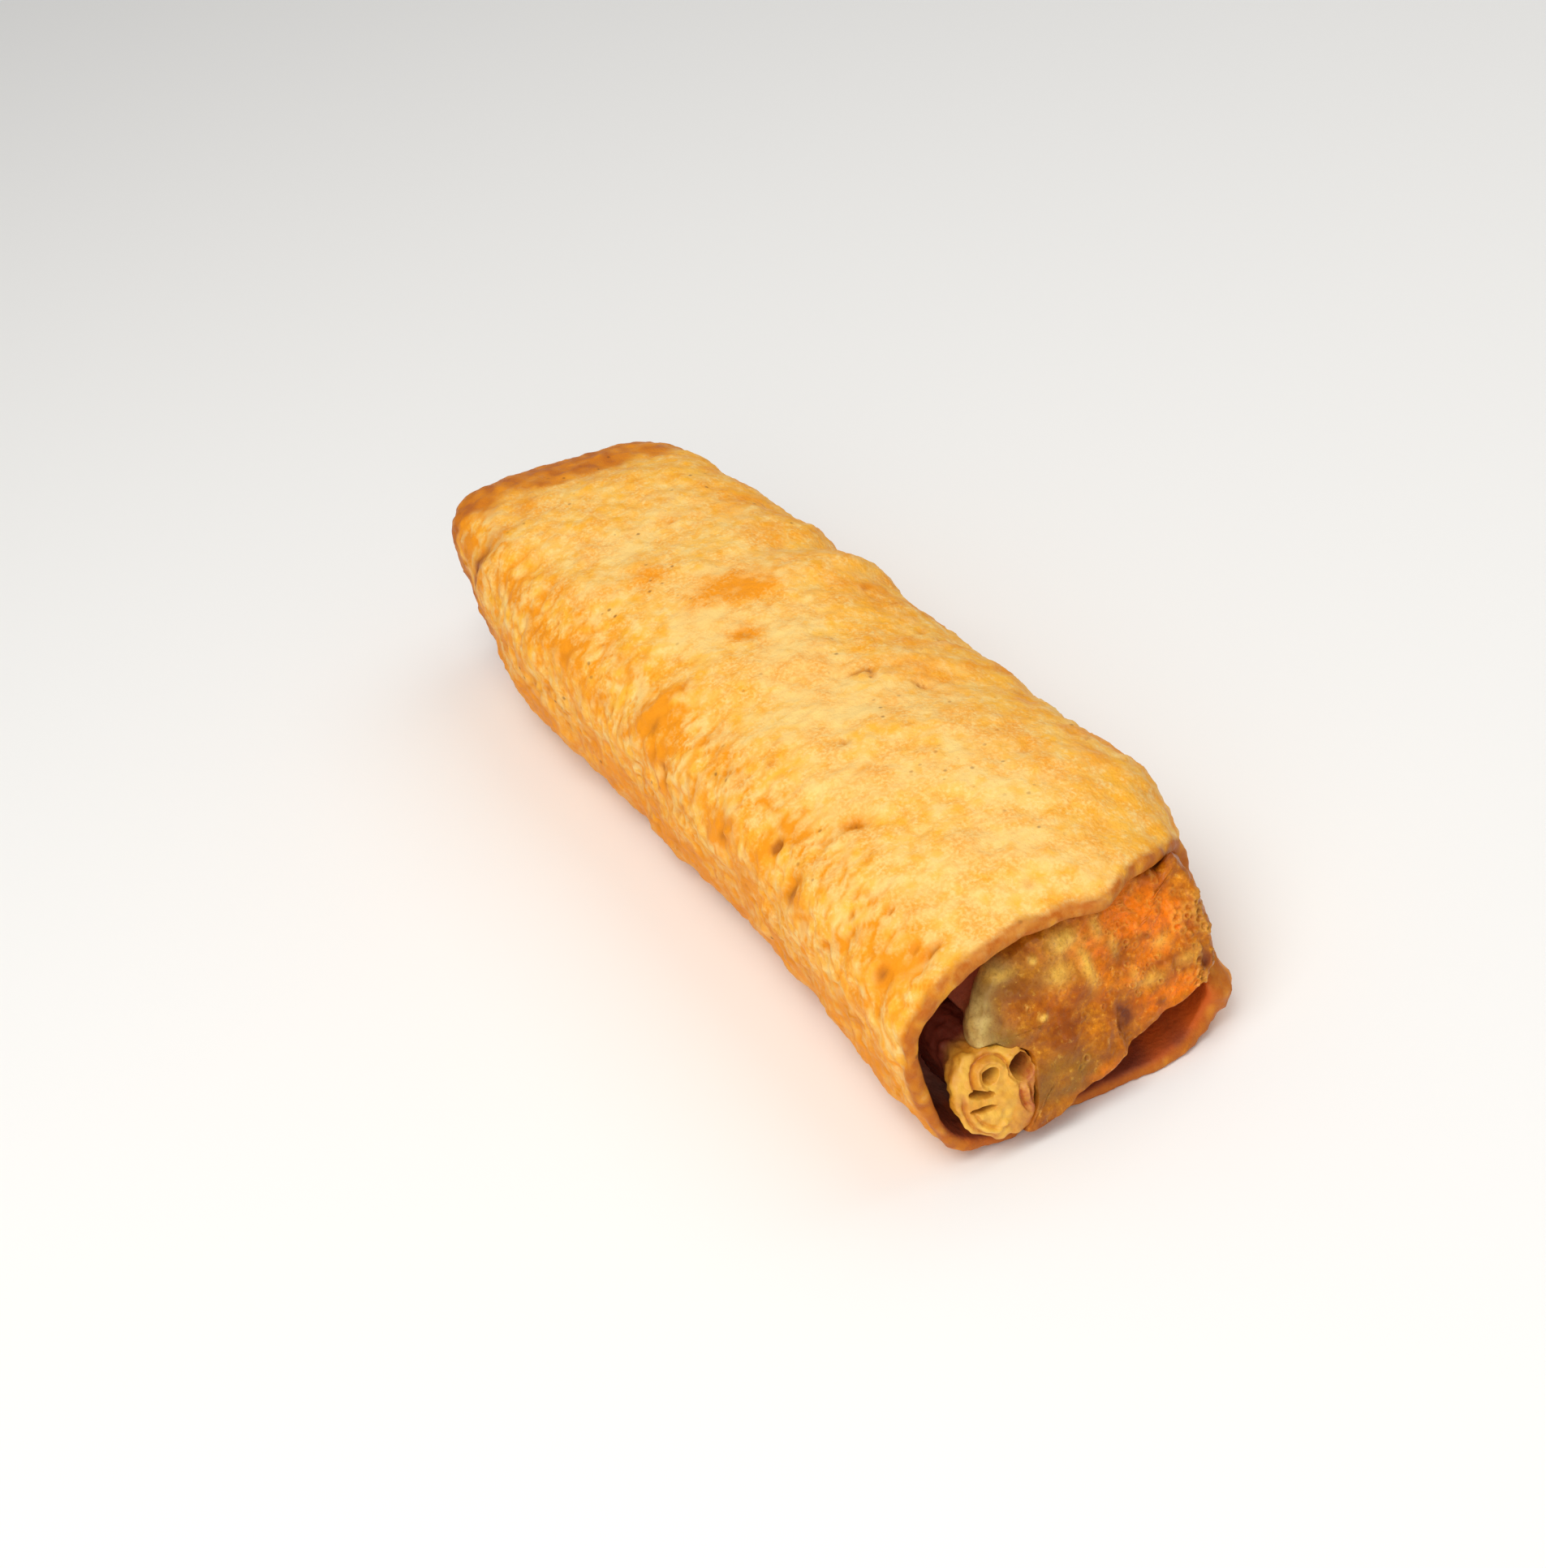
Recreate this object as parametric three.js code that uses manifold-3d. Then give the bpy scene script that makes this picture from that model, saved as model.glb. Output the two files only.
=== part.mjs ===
// An egg roll: fried pastry rolled up tight, lying on its side.
// The last turn is a flattened tube, open at the near end. The folded inner roll fills it from end to end and
// shows at the mouth as a flap, with the curled edge of an inner turn beside it.
// Millimetres, +Z up. X runs along the roll, with the open mouth at +X and the tucked end at -X.
import * as THREE from "three";
import { mergeVertices } from "three/addons/utils/BufferGeometryUtils.js";
import Module from "manifold-3d";

// Driving dimensions of the last turn
const LENGTH = 136.5;
const WALL = 1.7;
const GAP = 0.3;
const RIM_CLEAR = 1.1;
const CURL_CLEAR = 0.5;
const COLUMNS = 60;
const SHOULDER_STEPS = 4;

// A section is a flattened round, squarer below where the roll lies on its side, that leans as it rises.
const LEAN = -0.107;
const SQUARE_BELOW = 4.5;

// Place along the roll, half width, half height, sideways middle, height of the middle, squareness above,
// and the tilt of the upper side
const SECTIONS = [
  [-68.25, 18.4, 12.9, 0.3, 13.1, 5.5, -0.1],
  [-40.0, 21.5, 14.45, -1.0, 13.95, 3.1, 0],
  [0.0, 22.0, 14.6, -0.2, 14.2, 2.45, 0],
  [36.0, 22.6, 14.8, -0.1, 14.4, 2.45, 0],
  [53.0, 22.5, 14.6, -1.0, 14.2, 2.6, 0],
  [61.0, 21.2, 14.1, -2.7, 13.75, 2.6, 0],
  [68.25, 19.8, 13.4, -4.2, 13.1, 2.6, 0],
];

// The tucked end: where the shoulder starts, how far in its edge reaches, and that edge's waves:
// height, waves round the roll, phase
const SHOULDER_LENGTH = 7.0;
const SHOULDER_DEPTH = 5.0;
const SHOULDER_WAVES = [
  [1.1, 2, 0.6],
  [0.5, 5, 2.0],
];

// The mouth's edge slants, and its waves are each an angle, a spread in degrees and how far they stand out.
const MOUTH_SLANT_ACROSS = -0.8;
const MOUTH_SLANT_UP = -0.8;
const MOUTH_WAVES = [
  [14, 28, -8.5],
  [69, 9, 2.2],
  [86, 9, 0.9],
  [130, 25, 0.8],
  [300, 25, 1.5],
  [330, 8, 1.6],
];

// Blisters, hollows and dents of the crust: place along the roll, angle, spread along, spread round, height
const BLISTERS = [
  [-50.0, 60, 6.0, 8.0, 0.5],
  [-24.0, 48, 4.5, 8.0, 1.0],
  [-17.5, 46, 2.0, 7.0, -0.5],
  [-10.5, 44, 4.0, 9.0, 1.3],
  [9.0, 44, 7.0, 8.0, -0.9],
  [24.0, 42, 6.0, 9.0, -0.5],
  [3.4, 141, 3.2, 5.5, 0.7],
  [28.0, 152, 7.0, 4.0, 0.5],
  [62.0, 142, 1.3, 3.4, -0.9],
  [64.2, 130, 1.3, 3.4, -0.8],
  [-30.0, 190, 8.0, 5.0, 0.6],
  [-44.0, 330, 7.0, 6.0, 0.6],
  [20.0, 345, 8.0, 5.0, 0.7],
  [46.0, 20, 6.0, 6.0, 0.6],
  [-8.0, 15, 6.0, 5.0, -0.6],
  [67.0, 329, 4.0, 2.6, 1.7],
];

// Long soft swells of the crust: height, waves along the roll, waves round it, phase
const SWELLS = [
  [0.16, 3.1, 2, 0.0],
  [0.14, 5.3, 3, 1.3],
  [0.1, 8.7, 5, 2.1],
];

// The last corner of pastry is sealed low on the far side: its edge runs to a tip and back, and ends some way
// from the tip.
const SEAM_TIP_ANGLE = 6;
const SEAM_TIP_PLACE = 6.0;
const SEAM_RUN = 58.0;
const SEAM_DROP = 56;
const SEAM_HEIGHT = 1.2;
const SEAM_SOFTNESS = 3;
const SEAM_FADE = 42;
const SEAM_ENDS = [35, 54];

// How steeply down the skin faces where its relief starts to fade and where it lies flat
const FLAT_BELOW = [0.75, 0.97];

// The flap at the mouth: the outline's middle, and its reach from there by angle
const FLAP_MIDDLE = [0.0, 13.3];
const FLAP_REACH = [
  [1, 15.9],
  [13, 16.2],
  [22, 16.7],
  [31, 17.3],
  [40, 16.6],
  [52, 13.4],
  [70, 10.9],
  [90, 9.9],
  [110, 10.2],
  [128, 10.9],
  [144, 12.3],
  [156, 13.4],
  [168, 14.2],
  [178, 15.2],
  [186, 15.8],
  [228, 15.4],
  [238, 11.8],
  [256, 9.2],
  [284, 7.9],
  [312, 8.4],
  [329, 10.2],
  [339, 12.8],
  [347, 15.0],
];
const FLAP_NARROWS_FROM = 47.0;
const FLAP_NARROWS_TO = 57.5;

// Behind their edges the left sides of the flap and of the curled edge are drawn in: the angle, its spread,
// how far in, and over what length
const FLAP_NECK = [152, 36, 4.5, 5.0];
const CURL_NECK = [185, 55, 2.4, 3.5];

// The flap's face: how far out its foot stands, at what height, how it slopes back under the lip, and its
// rounded edge's depth and pull. Beside the curled edge that rounding is tighter: angle, spread and share.
const FACE_FOOT = 71.5;
const FACE_FOOT_HEIGHT = 5.0;
const FACE_SLOPE = 0.3;
const FACE_BEND = 0.004;
const FACE_EDGE = 1.7;
const FACE_EDGE_PULL = 0.055;
const FACE_EDGE_TIGHT = [212, 24, 0.7];
const FACE_LEFT_SET_BACK = 0.006;

// The crease where the flap's left sheet laps over its right one, and how wide the dip beside it is
const CREASE_ACROSS = 1.6;
const CREASE_WIDTH = 0.6;
const CREASE_TOP = 13.0;
const CREASE_FADE = 4.0;
const CREASE_STEP = 0.6;
const CREASE_DIP = 9.0;

// The curled edge: its middle, its reach from there by angle, and its back. Its front slopes as the flap
// does: how far out its foot stands, at what height, its slope, its rounded rim, where that is tighter, and
// its dome.
const CURL_MIDDLE = [-14.6, 7.6];
const CURL_REACH = [
  [11, 5.2],
  [26, 5.7],
  [57, 5.1],
  [80, 5.3],
  [104, 5.4],
  [126, 6.0],
  [141, 5.8],
  [160, 5.5],
  [190, 5.1],
  [216, 4.8],
  [246, 4.8],
  [277, 5.1],
  [300, 5.5],
  [322, 5.1],
  [349, 4.8],
];
const CURL_BACK = 58.0;
const CURL_FOOT = 71.4;
const CURL_FOOT_HEIGHT = 3.5;
const CURL_SLOPE = 0.33;
const CURL_EDGE = 0.9;
const CURL_EDGE_PULL = 0.16;
const CURL_EDGE_TIGHT = [35, 48, 0.65];
const CURL_DOME = 0.3;
const CURL_COLUMNS = 36;

// Holes in the curled edge: middle across and up, half width, half height, turn in degrees, depth
const CURL_HOLES = [
  [-14.9, 10.3, 1.0, 0.8, 20, 4.0],
  [-11.2, 9.7, 1.3, 1.3, 0, 4.0],
  [-16.5, 8.8, 1.5, 0.5, -20, 3.0],
  [-16.8, 7.2, 1.5, 0.35, -8, 2.2],
];
const HOLE_SIDES = 14;

// The tucked end's face: how far it bulges, and the fold across it: its step, softness and slope
const END_BULGE = 1.6;
const END_FOLD_STEP = 0.7;
const END_FOLD_SOFTNESS = 1.2;
const END_FOLD_SLOPE = -0.9;

const MATERIALS = {
  outer_wrap: new THREE.MeshStandardMaterial({ color: 0xe9b25c, roughness: 0.55, metalness: 0 }),
  inner_roll: new THREE.MeshStandardMaterial({ color: 0xb06a28, roughness: 0.35, metalness: 0 }),
  curled_edge: new THREE.MeshStandardMaterial({ color: 0xd9a24a, roughness: 0.5, metalness: 0 }),
};

const TURN = 2 * Math.PI;
const { clamp, degToRad, lerp, radToDeg, smoothstep } = THREE.MathUtils;

// A smooth curve through column k of a table: cubic pieces whose slopes are those of the neighbouring chords.
function through(table, x, k) {
  const last = table.length - 1;
  const slope = (i) => {
    if (i === 0) return (table[1][k] - table[0][k]) / (table[1][0] - table[0][0]);
    if (i === last) return (table[last][k] - table[last - 1][k]) / (table[last][0] - table[last - 1][0]);
    const before = table[i][0] - table[i - 1][0];
    const after = table[i + 1][0] - table[i][0];
    const rise = (table[i][k] - table[i - 1][k]) / before;
    const next = (table[i + 1][k] - table[i][k]) / after;
    return (rise * after + next * before) / (before + after);
  };
  let i = 0;
  while (i < last - 1 && x > table[i + 1][0]) i += 1;
  const width = table[i + 1][0] - table[i][0];
  const t = clamp((x - table[i][0]) / width, 0, 1);
  const start = (2 * t ** 3 - 3 * t ** 2 + 1) * table[i][k] + (t ** 3 - 2 * t ** 2 + t) * width * slope(i);
  const end = (3 * t ** 2 - 2 * t ** 3) * table[i + 1][k] + (t ** 3 - t ** 2) * width * slope(i + 1);
  return start + end;
}

// The angle from one direction to another, from -180 to 180 degrees.
function turnBetween(degrees, from) {
  return ((((degrees - from + 180) % 360) + 360) % 360) - 180;
}

// The point of the section at place x and angle phi, moved in towards the roll's middle.
function sectionPoint(x, phi, inset) {
  const halfWidth = through(SECTIONS, x, 1) - inset;
  const halfHeight = through(SECTIONS, x, 2) - inset;
  const across = Math.cos(phi);
  const up = Math.sin(phi);
  const square = SQUARE_BELOW + ((through(SECTIONS, x, 5) - SQUARE_BELOW) * (1 + up)) / 2;
  const k = (Math.abs(across) ** square + Math.abs(up) ** square) ** (-1 / square);
  const y = through(SECTIONS, x, 3) + halfWidth * across * k + LEAN * halfHeight * up * k;
  const tilt = (through(SECTIONS, x, 6) * halfWidth * across * k * (1 + up)) / 2;
  const z = through(SECTIONS, x, 4) + halfHeight * up * k + tilt;
  return new THREE.Vector3(x, y, Math.max(z, 0));
}

// How far along the roll the mouth's edge lies at angle phi.
function mouthEdge(phi) {
  const degrees = radToDeg(phi);
  return MOUTH_WAVES.reduce(
    (sum, [angle, spread, out]) => sum + out * Math.exp(-((turnBetween(degrees, angle) / spread) ** 2)),
    LENGTH / 2 + MOUTH_SLANT_ACROSS * Math.cos(phi) + MOUTH_SLANT_UP * Math.sin(phi),
  );
}

// The height of the crust's blisters, its long soft swells and the sealed seam at place x and angle phi.
function crustRelief(x, phi) {
  const degrees = radToDeg(phi);
  const radius = SECTIONS[2][2] + WALL;
  let height = 0;
  for (const [rise, along, round, phase] of SWELLS)
    height += rise * Math.sin((TURN * along * x) / LENGTH + round * phi + phase);
  for (const [place, angle, along, round, rise] of BLISTERS) {
    const away = degToRad(turnBetween(degrees, angle)) * radius;
    height += rise * Math.exp(-(((x - place) / along) ** 2) - (away / round) ** 2);
  }
  const seam = SEAM_TIP_ANGLE - (SEAM_DROP * Math.abs(x - SEAM_TIP_PLACE)) / SEAM_RUN;
  const above = turnBetween(degrees, seam);
  const step = smoothstep(above, -SEAM_SOFTNESS, SEAM_SOFTNESS) * Math.exp(-((above / SEAM_FADE) ** 2));
  height += SEAM_HEIGHT * step * (1 - smoothstep(Math.abs(x - SEAM_TIP_PLACE), ...SEAM_ENDS));
  return height * (1 - smoothstep(-Math.sin(phi), ...FLAT_BELOW));
}

// A closed surface over rows of points. The rows close on themselves, or end in a pole at each side.
function surfaceOver(rows, firstPole, lastPole) {
  const points = rows.flat();
  const columns = rows[0].length;
  const index = [];
  const at = (i, j) => (i % rows.length) * columns + (j % columns);
  const spans = firstPole ? rows.length - 1 : rows.length;
  for (let i = 0; i < spans; i += 1)
    for (let j = 0; j < columns; j += 1) {
      index.push(at(i, j), at(i, j + 1), at(i + 1, j));
      index.push(at(i, j + 1), at(i + 1, j + 1), at(i + 1, j));
    }
  if (firstPole) {
    const first = points.push(firstPole) - 1;
    const last = points.push(lastPole) - 1;
    for (let j = 0; j < columns; j += 1) {
      index.push(first, at(0, j + 1), at(0, j));
      index.push(at(rows.length - 1, j), at(rows.length - 1, j + 1), last);
    }
  }
  const geometry = new THREE.BufferGeometry().setFromPoints(points);
  geometry.setIndex(index);
  return geometry;
}

// A row of points round the roll, from a function of the angle.
function ring(columns, pointAt) {
  return Array.from({ length: columns }, (_, j) => pointAt((TURN * j) / columns));
}

// Fractions from 0 to 1 in so many steps, both ends included.
function steps(count) {
  return Array.from({ length: count + 1 }, (_, i) => i / count);
}

// The body's place at fraction u of the way from the tucked shoulder to where the mouth's lip starts.
function bodyPlace(u, phi) {
  return lerp(-LENGTH / 2 + SHOULDER_LENGTH, mouthEdge(phi) - WALL / 2, u);
}

// How far in the tucked shoulder's edge reaches at angle phi.
function shoulderDepth(phi) {
  return SHOULDER_WAVES.reduce(
    (sum, [rise, round, phase]) => sum + rise * Math.sin(round * phi + phase),
    SHOULDER_DEPTH,
  );
}

// A row of the tucked shoulder: a quarter turn from the body (0) to the end's face (1), set in by an offset.
function shoulderRow(fraction, offset) {
  const beta = (fraction * Math.PI) / 2;
  const x = -LENGTH / 2 + offset + (SHOULDER_LENGTH - offset) * (1 - Math.sin(beta));
  return ring(COLUMNS, (phi) => {
    const relief = offset === 0 ? crustRelief(x, phi) * Math.cos(beta) : 0;
    return sectionPoint(x, phi, offset + shoulderDepth(phi) * (1 - Math.cos(beta)) - relief);
  });
}

// The last turn: an outer skin, a rounded lip at the mouth, and the bore back to the tucked shoulder.
function outerWrap() {
  const OUTER_STEPS = 30;
  const BORE_STEPS = 13;
  const BORE_EASE = 1.6;
  const LIP_STEPS = 4;
  const TUCKED_LIP = [0.3 * WALL, 0.7 * WALL];
  const rows = steps(SHOULDER_STEPS).map((f) => shoulderRow(1 - f, 0));
  for (const u of steps(OUTER_STEPS).slice(1))
    rows.push(ring(COLUMNS, (phi) => {
      const x = bodyPlace(u, phi);
      return sectionPoint(x, phi, -crustRelief(x, phi));
    }));
  for (const f of steps(LIP_STEPS).slice(1, -1))
    rows.push(ring(COLUMNS, (phi) => {
      const x = mouthEdge(phi) - (WALL / 2) * (1 - Math.sin(f * Math.PI));
      const share = (1 - Math.cos(f * Math.PI)) / 2;
      return sectionPoint(x, phi, WALL * share - crustRelief(x, phi) * (1 - share));
    }));
  for (const u of steps(BORE_STEPS))
    rows.push(ring(COLUMNS, (phi) => sectionPoint(bodyPlace(1 - u ** BORE_EASE, phi), phi, WALL)));
  for (const f of steps(SHOULDER_STEPS).slice(1)) rows.push(shoulderRow(f, WALL));
  const [back, inset] = TUCKED_LIP;
  rows.push(ring(COLUMNS, (phi) => sectionPoint(-LENGTH / 2 + back, phi, shoulderDepth(phi) + inset)));
  return surfaceOver(rows);
}

// The reach at angle phi of a smooth closed curve through a table of angles and reaches.
function around(table, phi) {
  const laps = [-360, 0, 360].flatMap((lap) => table.map(([angle, reach]) => [angle + lap, reach]));
  return through(laps, radToDeg(phi), 1);
}

// Where a point near the mouth lies from the bore's middle, across and up, in half sizes of the bore less a
// clearance.
function fromBore(x, y, z) {
  const INSET = WALL + 2 * GAP;
  const halfHeight = through(SECTIONS, x, 2) - INSET;
  const up = (z - through(SECTIONS, x, 4)) / halfHeight;
  const across = (y - through(SECTIONS, x, 3) - LEAN * halfHeight * up) / (through(SECTIONS, x, 1) - INSET);
  return [across, up];
}

// Whether a point near the mouth lies inside the bore by a clearance, or well beyond the mouth's edge.
function clearOfBore(x, y, z) {
  const [across, up] = fromBore(x, y, z);
  const angle = Math.atan2(up, across);
  const square = SQUARE_BELOW + ((through(SECTIONS, x, 5) - SQUARE_BELOW) * (1 + Math.sin(angle))) / 2;
  return Math.abs(across) ** square + Math.abs(up) ** square < 1 || x > mouthEdge(angle) + RIM_CLEAR;
}

// Whether a point at the mouth lies outside the curled edge's outline, by a clearance.
function clearOfCurl(y, z) {
  const across = y - CURL_MIDDLE[0];
  const up = z - CURL_MIDDLE[1];
  const phi = (Math.atan2(up, across) + TURN) % TURN;
  return Math.hypot(across, up) > around(CURL_REACH, phi) + CURL_CLEAR;
}

// A point at some reach and angle from a middle, as a place across and a height.
function pointFrom([y, z], reach, phi) {
  return [y + reach * Math.cos(phi), z + reach * Math.sin(phi)];
}

// A reach from a middle, cut short where its end first isn't clear. Its first part always is.
function clearReach(middle, reach, phi, isClear) {
  const FIRST_PART = 0.4;
  const STEP = 0.05;
  let clear = FIRST_PART * reach;
  while (clear < reach && isClear(...pointFrom(middle, clear + STEP, phi))) clear += STEP;
  return Math.min(clear, reach);
}

// The flap's reach from its middle at place x, clear of the bore and of the curled edge.
function flapReach(x, phi) {
  const isClear = (y, z) => clearOfBore(x, y, z) && clearOfCurl(y, z);
  return clearReach(FLAP_MIDDLE, around(FLAP_REACH, phi), phi, isClear);
}

// The share of an edge's rounding that is left at angle phi.
function tightened([angle, spread, share], phi) {
  return 1 - share * Math.exp(-((turnBetween(radToDeg(phi), angle) / spread) ** 2));
}

// The place where the flap's side, at some reach from its middle, meets its face's rounded edge.
function flapEdge(phi, reach) {
  return flapFace(...pointFrom(FLAP_MIDDLE, reach, phi)) - FACE_EDGE * tightened(FACE_EDGE_TIGHT, phi);
}

// The flap's reach where its face's rounded edge starts, found in two steps because the face slopes.
function flapOutline(phi) {
  let reach = around(FLAP_REACH, phi);
  for (let i = 0; i < 2; i += 1) reach = flapReach(flapEdge(phi, reach), phi);
  return reach;
}

// How far a side is drawn in at angle phi, some way behind its edge.
function drawnIn([angle, spread, depth, length], behind, phi) {
  const away = turnBetween(radToDeg(phi), angle) / spread;
  return depth * Math.exp(-(away ** 2)) * smoothstep(behind, 0, length);
}

// The place of the flap's face at y and z: it slopes back under the lip and steps down at its crease.
function flapFace(y, z) {
  const rise = z - FACE_FOOT_HEIGHT;
  const slope = FACE_SLOPE * rise + FACE_BEND * Math.max(rise, 0) ** 2;
  const below = smoothstep(CREASE_TOP - z, 0, CREASE_FADE);
  const beside = smoothstep(y, CREASE_ACROSS - CREASE_WIDTH, CREASE_ACROSS + CREASE_WIDTH);
  const beyond = smoothstep(y, CREASE_ACROSS + CREASE_WIDTH, CREASE_ACROSS + CREASE_DIP);
  const left = FACE_LEFT_SET_BACK * Math.min(y, 0) ** 2;
  return FACE_FOOT - slope - left - CREASE_STEP * below * beside * (1 - beyond);
}

// A ring of the tucked end's face: the hole's outline scaled about its middle, with a fold across it.
function endRing(scale) {
  const middle = SECTIONS[0][4];
  return ring(COLUMNS, (phi) => {
    const edge = sectionPoint(-LENGTH / 2, phi, WALL + GAP + shoulderDepth(phi));
    const y = edge.y * scale;
    const z = middle + (edge.z - middle) * scale;
    const fold = smoothstep(y - END_FOLD_SLOPE * (z - middle), -END_FOLD_SOFTNESS, END_FOLD_SOFTNESS);
    return new THREE.Vector3(-LENGTH / 2 + WALL + GAP - END_BULGE + END_FOLD_STEP * fold, y, z);
  });
}

// The places along the roll of the flap's rows at angle phi: from the core to where the flap leaves the bore,
// a short flare, and the face's edge.
function flapPlaces(phi, outline) {
  const NARROWING_STEPS = 9;
  const FLARE_LENGTH = 0.4;
  const EDGE_BACK = 1;
  const edge = flapEdge(phi, outline);
  const [across, up] = fromBore(edge, ...pointFrom(FLAP_MIDDLE, outline, phi));
  const rim = mouthEdge(Math.atan2(up, across)) + RIM_CLEAR;
  const leaves = Math.min(rim, edge - EDGE_BACK);
  const places = steps(NARROWING_STEPS).slice(1).map((u) => lerp(FLAP_NARROWS_FROM, leaves, u));
  return [...places, leaves + FLARE_LENGTH, edge];
}

// The folded inner roll: a solid core with a tucked end, that narrows near the mouth into the flap.
function innerRoll() {
  const OFFSET = WALL + GAP;
  const CORE_STEPS = 12;
  const EDGE_STEPS = 3;
  const FACE_RINGS = [0.76, 0.59, 0.42, 0.27, 0.12];
  const END_RINGS = [0.14, 0.34, 0.6, 0.86];
  const rows = END_RINGS.map(endRing);
  for (const f of steps(SHOULDER_STEPS)) rows.push(shoulderRow(1 - f, OFFSET));
  for (const u of steps(CORE_STEPS).slice(1)) {
    const x = lerp(-LENGTH / 2 + SHOULDER_LENGTH, FLAP_NARROWS_FROM, u);
    rows.push(ring(COLUMNS, (phi) => sectionPoint(x, phi, OFFSET)));
  }
  const columns = ring(COLUMNS, (phi) => {
    const outline = flapOutline(phi);
    const places = flapPlaces(phi, outline);
    const tight = tightened(FACE_EDGE_TIGHT, phi);
    const sidePoint = (x) => {
      const reach = flapReach(x, phi) - drawnIn(FLAP_NECK, places.at(-1) - x, phi);
      const blend = smoothstep(x, FLAP_NARROWS_FROM, FLAP_NARROWS_TO);
      const narrowed = new THREE.Vector3(x, ...pointFrom(FLAP_MIDDLE, reach, phi));
      return sectionPoint(x, phi, OFFSET).lerp(narrowed, blend);
    };
    const facePoint = (scale, behind) => {
      const [y, z] = pointFrom(FLAP_MIDDLE, outline * scale, phi);
      return new THREE.Vector3(flapFace(y, z) - behind, y, z);
    };
    const edgePoint = (f) => {
      const bend = (f * Math.PI) / 2;
      const scale = 1 - FACE_EDGE_PULL * tight * (1 - Math.cos(bend));
      return facePoint(scale, FACE_EDGE * tight * (1 - Math.sin(bend)));
    };
    return [
      ...places.map(sidePoint),
      ...steps(EDGE_STEPS).slice(1).map(edgePoint),
      ...FACE_RINGS.map((scale) => facePoint(scale, 0)),
    ];
  });
  for (const i of columns[0].keys()) rows.push(columns.map((column) => column[i]));
  const [endMiddle] = endRing(0);
  const flapMiddle = new THREE.Vector3(flapFace(...FLAP_MIDDLE), ...FLAP_MIDDLE);
  return surfaceOver(rows, endMiddle, flapMiddle);
}

// The place of the curled edge's front at a height: it slopes back as the flap does.
function curlFront(z) {
  return CURL_FOOT - CURL_SLOPE * (z - CURL_FOOT_HEIGHT);
}

// The point of the curled edge at angle phi and a reach scaled about its middle, a distance behind its front.
function curlPoint(phi, reach, behind) {
  const [y, z] = pointFrom(CURL_MIDDLE, reach, phi);
  return new THREE.Vector3(curlFront(z) - behind, y, z);
}

// The curled edge of an inner turn: a stub of rolled pastry with a domed front, pierced between its turns.
async function curledEdge() {
  const SIDE_STEPS = 4;
  const EDGE_STEPS = 3;
  const FACE_RINGS = [0.55, 0.25];
  const columns = ring(CURL_COLUMNS, (phi) => {
    const full = around(CURL_REACH, phi);
    const edge = CURL_EDGE * tightened(CURL_EDGE_TIGHT, phi);
    const pull = CURL_EDGE_PULL * tightened(CURL_EDGE_TIGHT, phi);
    const reachAt = (x) => clearReach(CURL_MIDDLE, full, phi, (y, z) => clearOfBore(x, y, z));
    const reach = reachAt(curlPoint(phi, full, edge).x);
    const sideEnd = curlPoint(phi, reach, edge).x;
    const sidePoint = (u) => {
      const x = lerp(CURL_BACK, sideEnd, u);
      const narrowed = reachAt(x) - drawnIn(CURL_NECK, sideEnd - x, phi);
      return new THREE.Vector3(x, ...pointFrom(CURL_MIDDLE, narrowed, phi));
    };
    const edgePoint = (f) => {
      const bend = (f * Math.PI) / 2;
      return curlPoint(phi, reach * (1 - pull * (1 - Math.cos(bend))), edge * (1 - Math.sin(bend)));
    };
    return [
      new THREE.Vector3(CURL_BACK, ...pointFrom(CURL_MIDDLE, reachAt(CURL_BACK) / 2, phi)),
      ...steps(SIDE_STEPS).map(sidePoint),
      ...steps(EDGE_STEPS).slice(1).map(edgePoint),
      ...FACE_RINGS.map((scale) => curlPoint(phi, reach * scale, CURL_DOME * (scale - 1))),
    ];
  });
  const rows = [...columns[0].keys()].map((i) => columns.map((column) => column[i]));
  const back = new THREE.Vector3(CURL_BACK, ...CURL_MIDDLE);
  const front = curlPoint(0, 0, -CURL_DOME);
  return cutAway(surfaceOver(rows, back, front), CURL_HOLES.map(holeCutter));
}

// An oval plug along the roll that reaches from a hole's floor to well clear of the curled edge's front.
function holeCutter([y, z, halfWidth, halfHeight, turn, depth]) {
  const CLEAR = 2;
  return new THREE.CylinderGeometry(1, 1, depth + CLEAR, HOLE_SIDES)
    .rotateZ(-Math.PI / 2)
    .scale(1, halfWidth, halfHeight)
    .rotateX(degToRad(turn))
    .translate(curlFront(z) + (CLEAR - depth) / 2, y, z);
}

// A closed geometry less some others, cut as solids.
async function cutAway(body, tools) {
  const MERGE_DISTANCE = 1e-4;
  const wasm = await Module();
  wasm.setup();
  const solid = (geometry) => {
    const bare = new THREE.BufferGeometry().setAttribute("position", geometry.getAttribute("position"));
    bare.setIndex(geometry.index);
    const merged = mergeVertices(bare, MERGE_DISTANCE);
    const mesh = new wasm.Mesh({
      numProp: 3,
      vertProperties: merged.attributes.position.array,
      triVerts: new Uint32Array(merged.index.array),
    });
    return new wasm.Manifold(mesh);
  };
  const result = tools.reduce((whole, tool) => whole.subtract(solid(tool)), solid(body)).getMesh();
  const geometry = new THREE.BufferGeometry();
  geometry.setAttribute("position", new THREE.BufferAttribute(result.vertProperties, 3));
  geometry.setIndex(new THREE.BufferAttribute(result.triVerts, 1));
  return geometry;
}

// A named mesh in its own material.
function piece(name, geometry) {
  geometry.computeVertexNormals();
  const mesh = new THREE.Mesh(geometry, MATERIALS[name]);
  mesh.name = name;
  return mesh;
}

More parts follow.
